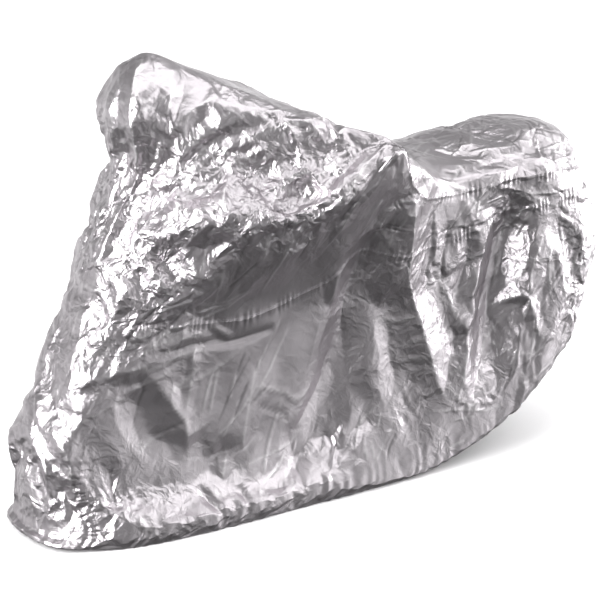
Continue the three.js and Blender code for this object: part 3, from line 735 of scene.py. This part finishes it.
def flat_facets(points):
    """Moves points, many times over, by the mean of their distances to the planes through the cells around
    them. The hem stays, and the crown is the same on both sides."""
    direction = facet_directions(points)
    hem = points[:, :1]
    other_side = -np.arange(len(points)) % len(points)
    cells = direction.shape[1]
    around = np.full((points.shape[1], 1), 4.0)
    around[[0, -1]] = 2.0
    for _ in range(FACET_FITS):
        beside = np.roll(points, -1, axis=0)
        middle = (points[:, :-1] + beside[:, :-1] + points[:, 1:] + beside[:, 1:]) / 4
        move = np.zeros_like(points)
        for along, up in ((0, 0), (0, 1), (1, 0), (1, 1)):
            plane = np.roll(direction, along, axis=0)
            gap = np.roll(middle, along, axis=0) - points[:, up:up + cells]
            move[:, up:up + cells] += (gap * plane).sum(axis=-1, keepdims=True) * plane
        points = np.concatenate([hem, (points + move / around)[:, 1:]], axis=1)
        points[:, -1] = (points[:, -1] + points[other_side, -1]) / 2
    return points


def faceted_bag():
    """The settled bag on a finer grid, with flat facets."""
    station, level = bag_grid(FACET_STEP)
    grid = np.tile(level, (len(station), 1))
    base = base_points(station, grid)
    round_lumps = base + settled_move(COARSE_BAG, station, grid)
    faceted = flat_facets(round_lumps)
    moved = np.linalg.norm(faceted - round_lumps, axis=-1)
    print("facets on", grid.size, "points, moved", round(1000 * moved.mean(), 1), "mm on the mean")
    return station, level, faceted - base


BAG = faceted_bag()

# %% [markdown]
# ## Seams and hem
# The centre panel is sewn over the upper side panels, and those over the lower ones, with two rows of
# stitches. A sewn seam is stiffer and a little shorter than the cloth beside it, so it stands up as a welt
# and gathers the cloth into small puckers. The hem is turned in over an elastic, which gathers it too.

# %% Seams and hem
FRONT_SEAM = 2.0
# Columns: station of a side, level of the seam there
SIDE_SEAM = np.array([(2, 3.0), (5, 3.0), (6.5, 3.1), (7.5, 3.25), (8.2, 3.35), (9.2, 3.45), (10.5, 3.5),
                      (13, 3.5)])
TOP_SEAM = np.array([(2, 3.04), (3.05, 3.45), (3.6, 4.2), (4.15, 4.85), (5, 5.0), (6, 4.9), (6.5, 4.5),
                     (7, 4.05), (7.5, 3.9), (8, 4.0), (13, 4.0)])
WELT_RISE = 0.0014
WELT_REACH = 0.006
PUCKER_RISE = 0.0022
PUCKER_REACH = 0.020
PUCKER_LENGTH = 0.017
SEAM_BLOCK = 20000  # points tried together
GATHER_RISE = 0.0025
GATHER_LENGTH = 0.041
GATHER_LEVELS = (0.2, 1.8)  # between which the gathers die out
SLOW_WAVES = ((2.2, 5.3), (1.7, 3.1))  # radians that each adds, and its length in waves
SWELL = (0.65, 0.35, 7.7)  # mean height, what a slow wave adds, and its length in waves


def seam_level(seam, station):
    """The level of a seam at stations of either side, in straight lines between its rows."""
    return np.interp(np.minimum(station, AROUND - station), seam[:, 0], seam[:, 1])


def seam_places():
    """Each seam as stations and levels of the loop, close enough together to be read as a line."""
    along = np.linspace(FRONT_SEAM, REAR, 160)
    up = np.linspace(0.1, TOP_SEAM[0, 1], 40)
    places = {}
    for name, side in (("left", along), ("right", AROUND - along)):
        places[name + " top"] = (side, seam_level(TOP_SEAM, side))
        places[name + " side"] = (side, seam_level(SIDE_SEAM, side))
        places[name + " front"] = (np.full(len(up), side[0]), up)
    return places


SEAMS = seam_places()
SEAM_LINES = [base_points(station, level[:, None])[:, 0] for station, level in SEAMS.values()]


def uneven_wave(length, wave, seed):
    """A wave whose length and height wander: the sine of the place over the wave plus two slow seeded sines,
    times a swell that is a slow sine too."""
    phase = np.random.default_rng(seed).uniform(0, 2 * np.pi, 3)
    turn = length / wave * 2 * np.pi
    slow = sum(most * np.sin(turn / waves + start) for (most, waves), start in zip(SLOW_WAVES, phase))
    mean, more, waves = SWELL
    return np.sin(turn + slow + phase[2]) * (mean + more * np.sin(turn / waves + phase[0]))


def seam_rise(points):
    """Welt and puckers: with d the distance to the seam, a welt of exp(-(d / reach) squared), and an uneven
    wave along the seam that dies out in the same way at its own reach."""
    rise = np.zeros(len(points))
    for number, line in enumerate(SEAM_LINES):
        reach = 3 * PUCKER_REACH
        inside = np.flatnonzero(((points > line.min(0) - reach) & (points < line.max(0) + reach)).all(axis=1))
        for part in np.array_split(inside, max(1, len(inside) // SEAM_BLOCK)):
            away, along = nearest(points[part], line)
            wave = uneven_wave(along, PUCKER_LENGTH, seed=20 + number)
            rise[part] += WELT_RISE * np.exp(-((away / WELT_REACH) ** 2))
            rise[part] += PUCKER_RISE * wave * np.exp(-((away / PUCKER_REACH) ** 2))
    return rise


print(len(SEAM_LINES), "seams,", round(sum(lengths_along(line)[-1] for line in SEAM_LINES), 2), "m")

# %% The finished cloth
HEM_STATIONS = np.linspace(0, AROUND, 1041)
HEM_LENGTH = lengths_along(base_points(HEM_STATIONS, np.ones((len(HEM_STATIONS), 1)))[:, 0])


def cloth_points(station, level):
    """The finished cloth at stations (n) and levels (n x m), and its marks: its crest share, which paints a
    highlight on ridges and a shade in troughs into the film's colour, and how crumpled it is: the settled cloth
    moved out by small creases, seams and the hem's gathers."""
    base = base_points(station, level)
    flat = base.reshape(-1, 3)
    _, crest = fold_rise(flat, FOLD_LINES)
    small, small_crest = fold_rise(flat, SMALL_LINES)
    crumpled = crumpled_share(station, level).ravel() * crumple_patches(flat)
    rise = small.reshape(level.shape) * smooth_step(level, FOLDS_START, FOLDS_FULL)
    rise += seam_rise(flat).reshape(level.shape)
    rise += fold_rise(flat, PLEAT_LINES)[0].reshape(level.shape)
    gather = uneven_wave(np.interp(station % AROUND, HEM_STATIONS, HEM_LENGTH), GATHER_LENGTH, seed=3)
    rise += GATHER_RISE * gather[:, None] * (1 - smooth_step(level, *GATHER_LEVELS))
    points = base + settled_move(BAG, station, level) + rise[..., None] * base_outward(station, level)
    crest = np.where(np.abs(small_crest) > np.abs(crest), small_crest, crest)
    return points, np.stack([crest, crumpled], axis=1).reshape(*level.shape, 2)


print("the foot is", round(HEM_LENGTH[-1], 2), "m round")

# %% [markdown]
# ## The panels
# Each panel is a grid of stations and levels between its seams. Where one panel is sewn over another, the
# lower one runs on underneath for the width of the seam, a millimetre further in, as a lapped seam does. At
# the hem the cloth turns in on itself round the elastic. The sheet is shaded smooth, and it carries its
# lengths along and up as a UV map, which lays it out flat.

# %% Making a sheet
FRONT_STEP = 0.0046
CENTRE_STEP = 0.0047
SIDE_STEP = 0.0038
FRONT_LAP = 0.05  # stations that a side panel runs on under the centre panel
CENTRE_ROWS = 101
APRON_ROWS = 130
UPPER_ROWS = 100
LOWER_ROWS = 162
LAP = 0.009
LAYER = 0.0011  # one panel under another
HEM_RADIUS = 0.004
HEM_TURN = np.radians(np.linspace(18, 200, 8))


def grid_faces(columns_count, rows_count):
    """Quads of a grid, turning so that they face out of the cover when stations run down the left side."""
    index = np.arange(columns_count * rows_count).reshape(columns_count, rows_count)
    return np.stack([index[:-1, :-1], index[1:, :-1], index[1:, 1:], index[:-1, 1:]], axis=-1).reshape(-1, 4)


def turned_hem(points):
    """The hem's rows: from each column's lowest point, part of a circle inwards round the elastic."""
    hem = points[:, :1]
    run = np.gradient(hem[:, 0], axis=0) * [1, 1, 0]
    inward = unit(np.stack([-run[:, 1], run[:, 0], 0 * run[:, 0]], axis=1))
    across = HEM_RADIUS * (1 - np.cos(HEM_TURN))
    down = -HEM_RADIUS * np.sin(HEM_TURN)
    rows = hem + inward[:, None] * across[:, None] + np.array([0, 0, 1.0]) * down[:, None]
    return np.concatenate([rows[:, ::-1], points], axis=1)


def patch(station, low, high, rows, layer=0.0, hem=False):
    """A grid of cloth between two levels for each station, moved in by its layer. Returns its points, its
    marks and its lengths along and up."""
    share = np.linspace(0, 1, rows)
    level = low[:, None] + (high - low)[:, None] * share
    points, marks = cloth_points(station, level)
    points -= layer * base_outward(station, level)
    if hem:
        points = turned_hem(points)
        marks = np.pad(marks, ((0, 0), (len(HEM_TURN), 0), (0, 0)), mode="edge")
    along = np.linalg.norm(np.diff(points, axis=0, prepend=points[:1]), axis=-1).cumsum(axis=0).mean(axis=1)
    up = np.linalg.norm(np.diff(points, axis=1, prepend=points[:, :1]), axis=-1).cumsum(axis=1)
    uv = np.stack([np.broadcast_to(along[:, None], up.shape), up], axis=-1)
    return points, marks, uv


# %% Sheets as meshes
def sheet_object(name, patches):
    """One mesh from grids: their points are stacked, those at the same place are made one, and each face
    keeps its own UV. The attribute painted_crest_shading holds the crest share, which paints a highlight on
    ridges and a shade in troughs, and the attribute crumpled holds how crumpled the cloth is."""
    points = np.concatenate([p.reshape(-1, 3) for p, _, _ in patches]) - SADDLE
    marks = np.concatenate([m.reshape(-1, 2) for _, m, _ in patches])
    uv = np.concatenate([u.reshape(-1, 2) for _, _, u in patches])
    starts = np.cumsum([0] + [p.shape[0] * p.shape[1] for p, _, _ in patches[:-1]])
    faces = np.concatenate([grid_faces(*p.shape[:2]) + start for (p, _, _), start in zip(patches, starts)])
    _, first, same = np.unique(np.round(points, 5), axis=0, return_index=True, return_inverse=True)
    mesh = bpy.data.meshes.new(name)
    corners = same.ravel()[faces].ravel()
    mesh.vertices.add(len(first))
    mesh.vertices.foreach_set("co", points[first].astype(np.float32).ravel())
    mesh.loops.add(len(corners))
    mesh.loops.foreach_set("vertex_index", corners.astype(np.int32))
    mesh.polygons.add(len(faces))
    mesh.polygons.foreach_set("loop_start", np.arange(0, len(corners), 4, dtype=np.int32))
    mesh.polygons.foreach_set("use_smooth", np.ones(len(faces), bool))
    layer = mesh.uv_layers.new(name="cloth")
    layer.data.foreach_set("uv", uv[faces.ravel()].astype(np.float32).ravel())
    for column, mark in enumerate(("painted_crest_shading", "crumpled")):
        values = mesh.attributes.new(mark, "FLOAT", "POINT")
        values.data.foreach_set("value", marks[first, column].astype(np.float32))
    mesh.update()
    mesh.validate()
    made = linked(name, mesh)
    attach(made, "root")
    print(name, len(first), "points,", 2 * len(faces), "triangles")
    return made


def cloth_area(made):
    """The area of a mesh, in square metres."""
    areas = np.empty(len(made.data.polygons))
    made.data.polygons.foreach_get("area", areas)
    return areas.sum()


# %% [markdown]
# ## The five panels
# A tailor lays the long centre panel first: up the front, over the top and down the tail, with an apron below
# it at the front. The side panels hang from it. The rows of each grid are spaced by share between its seams,
# and its columns by length, so the cells stay near square and the creases keep their edges everywhere.

# %% The five panels
def mirrored(station):
    """The same stations on the right side, in the loop's order."""
    return AROUND - station[::-1]


def centre_sheet():
    """Two grids from the top seam to the crown, which meet there, and the apron under them at the front."""
    front = even_stations(0, FRONT_SEAM, level=4.0, step=FRONT_STEP)
    side = even_stations(FRONT_SEAM, REAR, level=4.4, step=CENTRE_STEP)
    left = np.concatenate([front, side[1:]])
    apron_top = TOP_SEAM[0, 1]
    patches = []
    for station in (left, mirrored(left)):
        at_side = np.minimum(station, AROUND - station)
        low = np.where(at_side <= FRONT_SEAM, apron_top, seam_level(TOP_SEAM, station))
        patches.append(patch(station, low, np.full(len(station), float(CROWN)), CENTRE_ROWS))
    apron = np.concatenate([mirrored(front)[:-1] - AROUND, front])
    patches.append(patch(apron, np.zeros(len(apron)), np.full(len(apron), apron_top), APRON_ROWS, hem=True))
    return sheet_object("centre_cloth", patches)


def side_sheet(name, side, low_seam, high_seam, rows, layer):
    """A side panel from its front seam to the rear seam, run on under the panels that are sewn over it."""
    lowest = low_seam is None
    station = even_stations(FRONT_SEAM - FRONT_LAP, REAR, level=2.5 if lowest else 3.0, step=SIDE_STEP)
    if side > 0:
        station = mirrored(station)
    low = np.zeros(len(station)) if lowest else seam_level(low_seam, station)
    high = seam_level(high_seam, station)
    high = high + LAP / metres_per_step(station, high, step=0.01)[1]
    return sheet_object(name, [patch(station, low, high, rows, layer, hem=lowest)])


panels = {"centre_panel": centre_sheet()}
for name, side in (("left", -1), ("right", 1)):
    for kind, low_seam, high_seam, rows, layers in (("_upper", SIDE_SEAM, TOP_SEAM, UPPER_ROWS, 1),
                                                    ("_lower", None, SIDE_SEAM, LOWER_ROWS, 2)):
        panels[name + kind + "_panel"] = side_sheet(name + kind + "_cloth", side, low_seam, high_seam, rows,
                                                    layers * LAYER)

# %% [markdown]
# ## Stitches
# Two rows of lockstitch hold each seam. A stitch is a short thread that dips into the cloth at both ends: a
# lozenge of eight faces, carried along the seam by its run and the cloth's outward direction.

# %% Stitches
STITCH_PITCH = 0.0075
STITCH_LENGTH = 0.0052  # drawn longer than the real 3 mm, so that it shows
STITCH_WIDTH = 0.0011
STITCH_ROWS = (0.0030, 0.0085)  # from the seam, on the upper layer
STITCH_SIDES = 0.4  # rises over the cloth, in half widths
STITCH_TOP = 1.8


def stitch_frames(station, level, row):
    """Middle, run and outward direction of each stitch in a row: places at equal lengths along the seam,
    moved square to it by the row's distance."""
    length = lengths_along(cloth_points(station, level[:, None])[0][:, 0])
    at = np.arange(STITCH_PITCH, length[-1] - STITCH_PITCH, STITCH_PITCH)
    station = np.interp(at, length, station)
    level = np.interp(at, length, level)
    out = base_outward(station, level[:, None])[:, 0]
    middle = cloth_points(station, level[:, None])[0][:, 0]
    run = unit(np.gradient(middle, axis=0))
    square = np.cross(out, run)
    square *= np.sign(square[:, 2:3] + 1e-9)
    return middle + row * square, run, out


def stitch_points(middle, run, out):
    """Six points of a lozenge: its two ends in the cloth, two sides, its top and its foot."""
    across = np.cross(out, run)
    half = STITCH_WIDTH / 2
    ends = [middle + sign * STITCH_LENGTH / 2 * run for sign in (-1, 1)]
    sides = [middle + sign * half * across + STITCH_SIDES * half * out for sign in (-1, 1)]
    return np.stack([*ends, *sides, middle + STITCH_TOP * half * out, middle - half * out], axis=1)


STITCH_FACES = np.array([(0, 2, 4), (2, 1, 4), (1, 3, 4), (3, 0, 4),
                         (2, 0, 5), (1, 2, 5), (3, 1, 5), (0, 3, 5)])
threads = [stitch_points(*stitch_frames(station, level, row))
           for station, level in SEAMS.values() for row in STITCH_ROWS]
threads = np.concatenate(threads) - SADDLE
thread_faces = STITCH_FACES + 6 * np.arange(len(threads))[:, None, None]
stitches = plain_object("seam_stitches", threads.reshape(-1, 3), thread_faces.reshape(-1, 3))
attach(stitches, "root")
print(len(threads), "stitches")

# %% [markdown]
# ## The cut of the cloth
# A sewn cover starts as flat pieces. The longest runs across and along the unfolded cover give a panel's cut.
# Cloth hardly stretches, so the cut has the draped sheet's area. The frame's plain solids are hidden, and each
# sheet's draped area is printed beside its cut.

# %% The cut of the cloth
# Cut sizes: a panel's longest run across and along the unfolded cover, and its flat area, in m and m2
CUT_SIZES = {"centre": (1.62, 3.02, 1.79), "upper": (0.48, 2.09, 0.385), "lower": (0.74, 2.04, 1.23)}
for node, made in panels.items():
    cut = next(kind for kind in CUT_SIZES if kind in node)
    across, along, flat_area = CUT_SIZES[cut]
    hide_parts(node)
    print(node, "draped area", round(cloth_area(made), 3), "m2, cut", flat_area, "m2")

# %% [markdown]
# ## The finishes
# The cloth is polyester taffeta with an aluminium coating: plain weave under a thin metallic film. The film
# gives broad, soft-edged reflections, and the weave a fine tooth. Packing also leaves facets of a few
# centimetres and less. They are too fine for the mesh, so they are bump, steeper where the cloth is more
# crumpled. A highlight is painted pale into the film's colour along each ridge, and a shade is painted dark
# along each trough. The thread is plain polyester.

# %% Finishes
def linear(hex_colour):
    """An sRGB hex colour as linear red, green, blue and alpha."""
    parts = np.array([int(hex_colour[i:i + 2], 16) for i in (0, 2, 4)]) / 255
    value = np.where(parts <= 0.04045, parts / 12.92, ((parts + 0.055) / 1.055) ** 2.4)
    return (*value.tolist(), 1.0)


def add_node(tree, kind, inputs=None, **attributes):
    """Adds a node, sets its attributes, and gives each input named a value or a link to an output."""
    node = tree.nodes.new(kind)
    for name, value in attributes.items():
        setattr(node, name, value)
    for name, value in (inputs or {}).items():
        if isinstance(value, bpy.types.NodeSocket):
            tree.links.new(value, node.inputs[name])
        else:
            node.inputs[name].default_value = value
    return node


def new_material(name):
    """An empty node material, its nodes, its shader and the place on the object."""
    material = bpy.data.materials.new(name)
    material.use_nodes = True
    tree = material.node_tree
    place = add_node(tree, "ShaderNodeTexCoord").outputs["Object"]
    return material, tree, tree.nodes["Principled BSDF"], place


# %% The film's facets
# Columns: size of a facet in m, its slope, and the turn of its lattice
FINE_FACETS = [(0.048, 0.14, (0.5, 0.9, 0.3)), (0.021, 0.12, (1.1, 0.2, 0.8)), (0.010, 0.07, (0.3, 1.3, 1.9))]
FINE_POWER = 1.4  # of the crumpled share
FACET_BEND = 0.05  # how far, in m, a soft noise bends the lattices
FACET_BEND_SIZE = 0.06


def fine_facets(tree, place):
    """The height of the facets that are too fine for the mesh, in m. The distance to the nearest of many
    scattered points, counted along the axes only, is a field of pyramids with flat faces. Three sizes of
    them are added, each on a lattice turned another way and bent by noise. All of them follow how crumpled
    the cloth is."""
    crumpled = add_node(tree, "ShaderNodeAttribute", attribute_name="crumpled").outputs["Fac"]
    soft = add_node(tree, "ShaderNodeTexNoise", {"Vector": place, "Scale": 1 / FACET_BEND_SIZE,
                                                 "Detail": 1.0})
    bend = add_node(tree, "ShaderNodeVectorMath", {0: soft.outputs["Color"], 1: (0.5, 0.5, 0.5)},
                    operation="SUBTRACT")
    bent = add_node(tree, "ShaderNodeVectorMath", {0: bend.outputs[0], 1: (FACET_BEND,) * 3, 2: place},
                    operation="MULTIPLY_ADD")
    height = 0.0
    for size, slope, turn in FINE_FACETS:
        turned = add_node(tree, "ShaderNodeMapping", {"Vector": bent.outputs[0], "Rotation": turn})
        pyramids = add_node(tree, "ShaderNodeTexVoronoi", {"Vector": turned.outputs[0], "Scale": 1 / size},
                            distance="MANHATTAN")
        height = add_node(tree, "ShaderNodeMath", {0: pyramids.outputs["Distance"], 1: size * slope,
                                                   2: height}, operation="MULTIPLY_ADD").outputs[0]
    steep = add_node(tree, "ShaderNodeMath", {0: crumpled, 1: FINE_POWER}, operation="POWER").outputs[0]
    return add_node(tree, "ShaderNodeMath", {0: height, 1: steep}, operation="MULTIPLY").outputs[0]


print("fine facets of", [f"{size * 1000:.0f} mm" for size, _, _ in FINE_FACETS])

# %% Cloth and thread
CLOUD_SIZE = 0.16  # of the patches in the film's grey, in m
GLOSS_SIZE = 0.035
TOOTH_SIZE = 0.006  # drawn far coarser than a weave of three threads to the millimetre, so that it shows
TOOTH_HEIGHT = 0.0010
TWIST_SIZE = 0.002  # drawn coarser than the thread's real twist of half a millimetre
RIDGE_HIGHLIGHT_PAINT = 0.55  # how far a painted highlight turns a ridge pale, and a painted shade turns a trough dark
TROUGH_SHADE_PAINT = 0.5


def coated_taffeta():
    """Aluminium-coated polyester taffeta: a soft mirror, pale grey with a breath of mauve, its roughness
    uneven, pressed into facets, with a highlight painted pale on its ridges and a shade painted dark in its
    troughs."""
    material, tree, shader, place = new_material("aluminium_coated_taffeta")
    crest = add_node(tree, "ShaderNodeAttribute", attribute_name="painted_crest_shading").outputs["Fac"]
    cloud = add_node(tree, "ShaderNodeTexNoise", {"Vector": place, "Scale": 1 / CLOUD_SIZE, "Detail": 3.0,
                                                  "Roughness": 0.55}).outputs["Fac"]
    colour = add_node(tree, "ShaderNodeMix", {"A": linear("CDC8CC"), "B": linear("BAB5B9"), "Factor": cloud},
                      data_type="RGBA").outputs["Result"]
    # A highlight painted pale along the ridges and a shade painted dark in the troughs, by the crest share
    for painted_crest_shading, share in (("EDEAEC", RIDGE_HIGHLIGHT_PAINT), ("6E6A6D", -TROUGH_SHADE_PAINT)):
        painted_share = add_node(tree, "ShaderNodeMath", {0: crest, 1: share}, operation="MULTIPLY", use_clamp=True)
        mix = add_node(tree, "ShaderNodeMix", {"A": colour, "B": linear(painted_crest_shading), "Factor": painted_share.outputs[0]},
                       data_type="RGBA")
        colour = mix.outputs["Result"]
    gloss = add_node(tree, "ShaderNodeTexNoise", {"Vector": place, "Scale": 1 / GLOSS_SIZE, "Detail": 2.0})
    rough = add_node(tree, "ShaderNodeMapRange", {"Value": gloss.outputs["Fac"], "To Min": 0.29,
                                                  "To Max": 0.39})
    facets = add_node(tree, "ShaderNodeBump", {"Height": fine_facets(tree, place), "Distance": 1.0})
    tooth = add_node(tree, "ShaderNodeTexNoise", {"Vector": place, "Scale": 1 / TOOTH_SIZE, "Detail": 3.0,
                                                  "Roughness": 0.6})
    weave = add_node(tree, "ShaderNodeBump", {"Height": tooth.outputs["Fac"], "Strength": 0.07,
                                              "Distance": TOOTH_HEIGHT, "Normal": facets.outputs["Normal"]})
    tree.links.new(colour, shader.inputs["Base Color"])
    tree.links.new(rough.outputs["Result"], shader.inputs["Roughness"])
    tree.links.new(weave.outputs["Normal"], shader.inputs["Normal"])
    shader.inputs["Metallic"].default_value = 0.96
    return material


def polyester_thread():
    """Grey polyester sewing thread: matt, twisted, a little shiny along its length."""
    material, tree, shader, place = new_material("grey_polyester_thread")
    twist = add_node(tree, "ShaderNodeTexNoise", {"Vector": place, "Scale": 1 / TWIST_SIZE, "Detail": 2.0})
    colour = add_node(tree, "ShaderNodeMix", {"A": linear("7C787C"), "B": linear("9C989C"),
                                              "Factor": twist.outputs["Fac"]}, data_type="RGBA")
    tree.links.new(colour.outputs["Result"], shader.inputs["Base Color"])
    shader.inputs["Roughness"].default_value = 0.55
    return material


taffeta = coated_taffeta()
for made in panels.values():
    made.data.materials.append(taffeta)
stitches.data.materials.append(polyester_thread())
print("finishes:", [m.name for m in bpy.data.materials if m.users])

# %% [markdown]
# ## Floor and light
# A mirror shows its room, so the room matters as much as the cloth. Large soft lights overhead, at the side
# and at each end make the white facets. The room between them is dark above, pale just under the horizon and
# brighter towards two of its ends, which makes the grey ones. The floor is white paper, washed by lights of
# its own that the cloth doesn't mirror.

# %% Floor and lights
FLOOR_DROP = 0.005  # the turned hem's underside
FLOOR_HALF = 14.0
FLOOR_GRAIN = 0.4
# Columns: name, place and aim over the floor in m, size in m, power in W, whether the cloth mirrors it
LIGHTS = [
    ("overhead", (0.0, -0.3, 3.4), (0.0, 0.0, 0.6), (3.4, 1.8), 36, True),
    ("side_high", (2.0, -2.8, 3.1), (0.2, -0.2, 0.3), (3.8, 2.8), 64, True),
    ("front_end", (-3.4, -0.7, 1.7), (-0.5, 0.0, 0.7), (2.8, 3.2), 200, True),
    ("tail_end", (3.6, -0.5, 0.9), (0.6, 0.0, 0.5), (2.8, 1.8), 75, True),
    ("back_panel", (3.2, -0.1, 2.6), (0.0, 0.0, 0.9), (1.6, 1.2), 8, True),
    ("floor_wash", (2.8, 4.6, 3.4), (2.8, 4.6, 0.0), (4.0, 3.2), 110, False),
    ("ceiling_wash", (0.0, 0.0, 7.0), (0.0, 0.0, 0.0), (18.0, 18.0), 1100, False),
]


def floor_plane():
    """A square floor under the hem, left out of the cloth's reflections."""
    corners = FLOOR_HALF * np.array([(-1, -1, 0), (1, -1, 0), (1, 1, 0), (-1, 1, 0)])
    corners[:, 2] = -SADDLE[2] - FLOOR_DROP
    made = plain_object("studio_floor", corners, np.arange(4).reshape(1, 4))
    material, tree, shader, place = new_material("pale_studio_paper")
    grain = add_node(tree, "ShaderNodeTexNoise", {"Vector": place, "Scale": 1 / FLOOR_GRAIN, "Detail": 2.0})
    colour = add_node(tree, "ShaderNodeMix", {"A": linear("F2F1F2"), "B": linear("EFEEEF"),
                                              "Factor": grain.outputs["Fac"]}, data_type="RGBA")
    tree.links.new(colour.outputs["Result"], shader.inputs["Base Color"])
    shader.inputs["Roughness"].default_value = 0.9
    made.data.materials.append(material)
    made.visible_glossy = False


def soft_light(name, place, aim, size, power, mirrored_too):
    """An area light at a place over the floor, turned towards an aim and unseen by the camera itself."""
    data = bpy.data.lights.new(name, "AREA")
    data.shape = "RECTANGLE"
    data.size, data.size_y = size
    data.energy = power
    made = linked(name, data)
    made.location = Vector(place) - Vector(SADDLE)
    made.rotation_euler = (Vector(aim) - Vector(place)).to_track_quat("-Z", "Y").to_euler()
    made.visible_camera = False
    made.visible_glossy = mirrored_too


floor_plane()
for row in LIGHTS:
    soft_light(*row)
print("floor and", len(LIGHTS), "lights")

# %% The room
# Columns: height of a direction from 0, straight down, to 1, straight up, and the room's grey there
ROOM_GREYS = [(0.0, 0.05), (0.2, 0.13), (0.37, 0.88), (0.5, 0.58), (0.7, 0.2), (1.0, 0.22)]
ROOM_LEAST = 0.12  # share of the greys in the room's darkest direction
# Columns: a direction in which the room is brighter, and the share that it adds there
ROOM_ENDS = [((0.985, 0.174, 0.0), 2.24), ((-0.743, 0.669, 0.0), 0.7)]
BACKGROUND = 0.93  # seen past the floor's edge


def graded_room():
    """A world whose grey follows the height of the direction looked in, on straight lines between levels. It
    is multiplied by a share: the least one, and for each bright end the square of the nearness to it, which
    goes from 0, looking away, to 1. The camera itself sees an even pale grey."""
    world = bpy.data.worlds.new("grey_room")
    world.use_nodes = True
    tree = world.node_tree
    place = add_node(tree, "ShaderNodeTexCoord").outputs["Generated"]
    upward = add_node(tree, "ShaderNodeSeparateXYZ", {"Vector": place}).outputs["Z"]
    height = add_node(tree, "ShaderNodeMapRange", {"Value": upward, "From Min": -1.0}).outputs["Result"]
    ramp = add_node(tree, "ShaderNodeValToRGB", {"Fac": height})
    for at, _ in ROOM_GREYS[1:-1]:
        ramp.color_ramp.elements.new(at)
    for element, (at, grey) in zip(ramp.color_ramp.elements, ROOM_GREYS):
        element.position = at
        element.color = (grey, grey, grey, 1.0)
    share = ROOM_LEAST
    for direction, most in ROOM_ENDS:
        facing = add_node(tree, "ShaderNodeVectorMath", {0: place, 1: direction}, operation="DOT_PRODUCT")
        near = add_node(tree, "ShaderNodeMapRange", {"Value": facing.outputs["Value"], "From Min": -1.0})
        square = add_node(tree, "ShaderNodeMath", {0: near.outputs["Result"], 1: 2.0}, operation="POWER")
        share = add_node(tree, "ShaderNodeMath", {0: square.outputs[0], 1: most, 2: share},
                         operation="MULTIPLY_ADD").outputs[0]
    lit = tree.nodes["Background"]
    tree.links.new(ramp.outputs["Color"], lit.inputs["Color"])
    tree.links.new(share, lit.inputs["Strength"])
    seen = add_node(tree, "ShaderNodeBackground", {"Color": (BACKGROUND, BACKGROUND, BACKGROUND, 1.0)})
    by_camera = add_node(tree, "ShaderNodeLightPath").outputs["Is Camera Ray"]
    both = add_node(tree, "ShaderNodeMixShader", {0: by_camera, 1: lit.outputs[0], 2: seen.outputs[0]})
    tree.links.new(both.outputs[0], tree.nodes["World Output"].inputs["Surface"])
    return world


bpy.context.scene.world = graded_room()
bpy.context.scene.view_settings.view_transform = "Standard"
print("room:", bpy.context.scene.world.name)
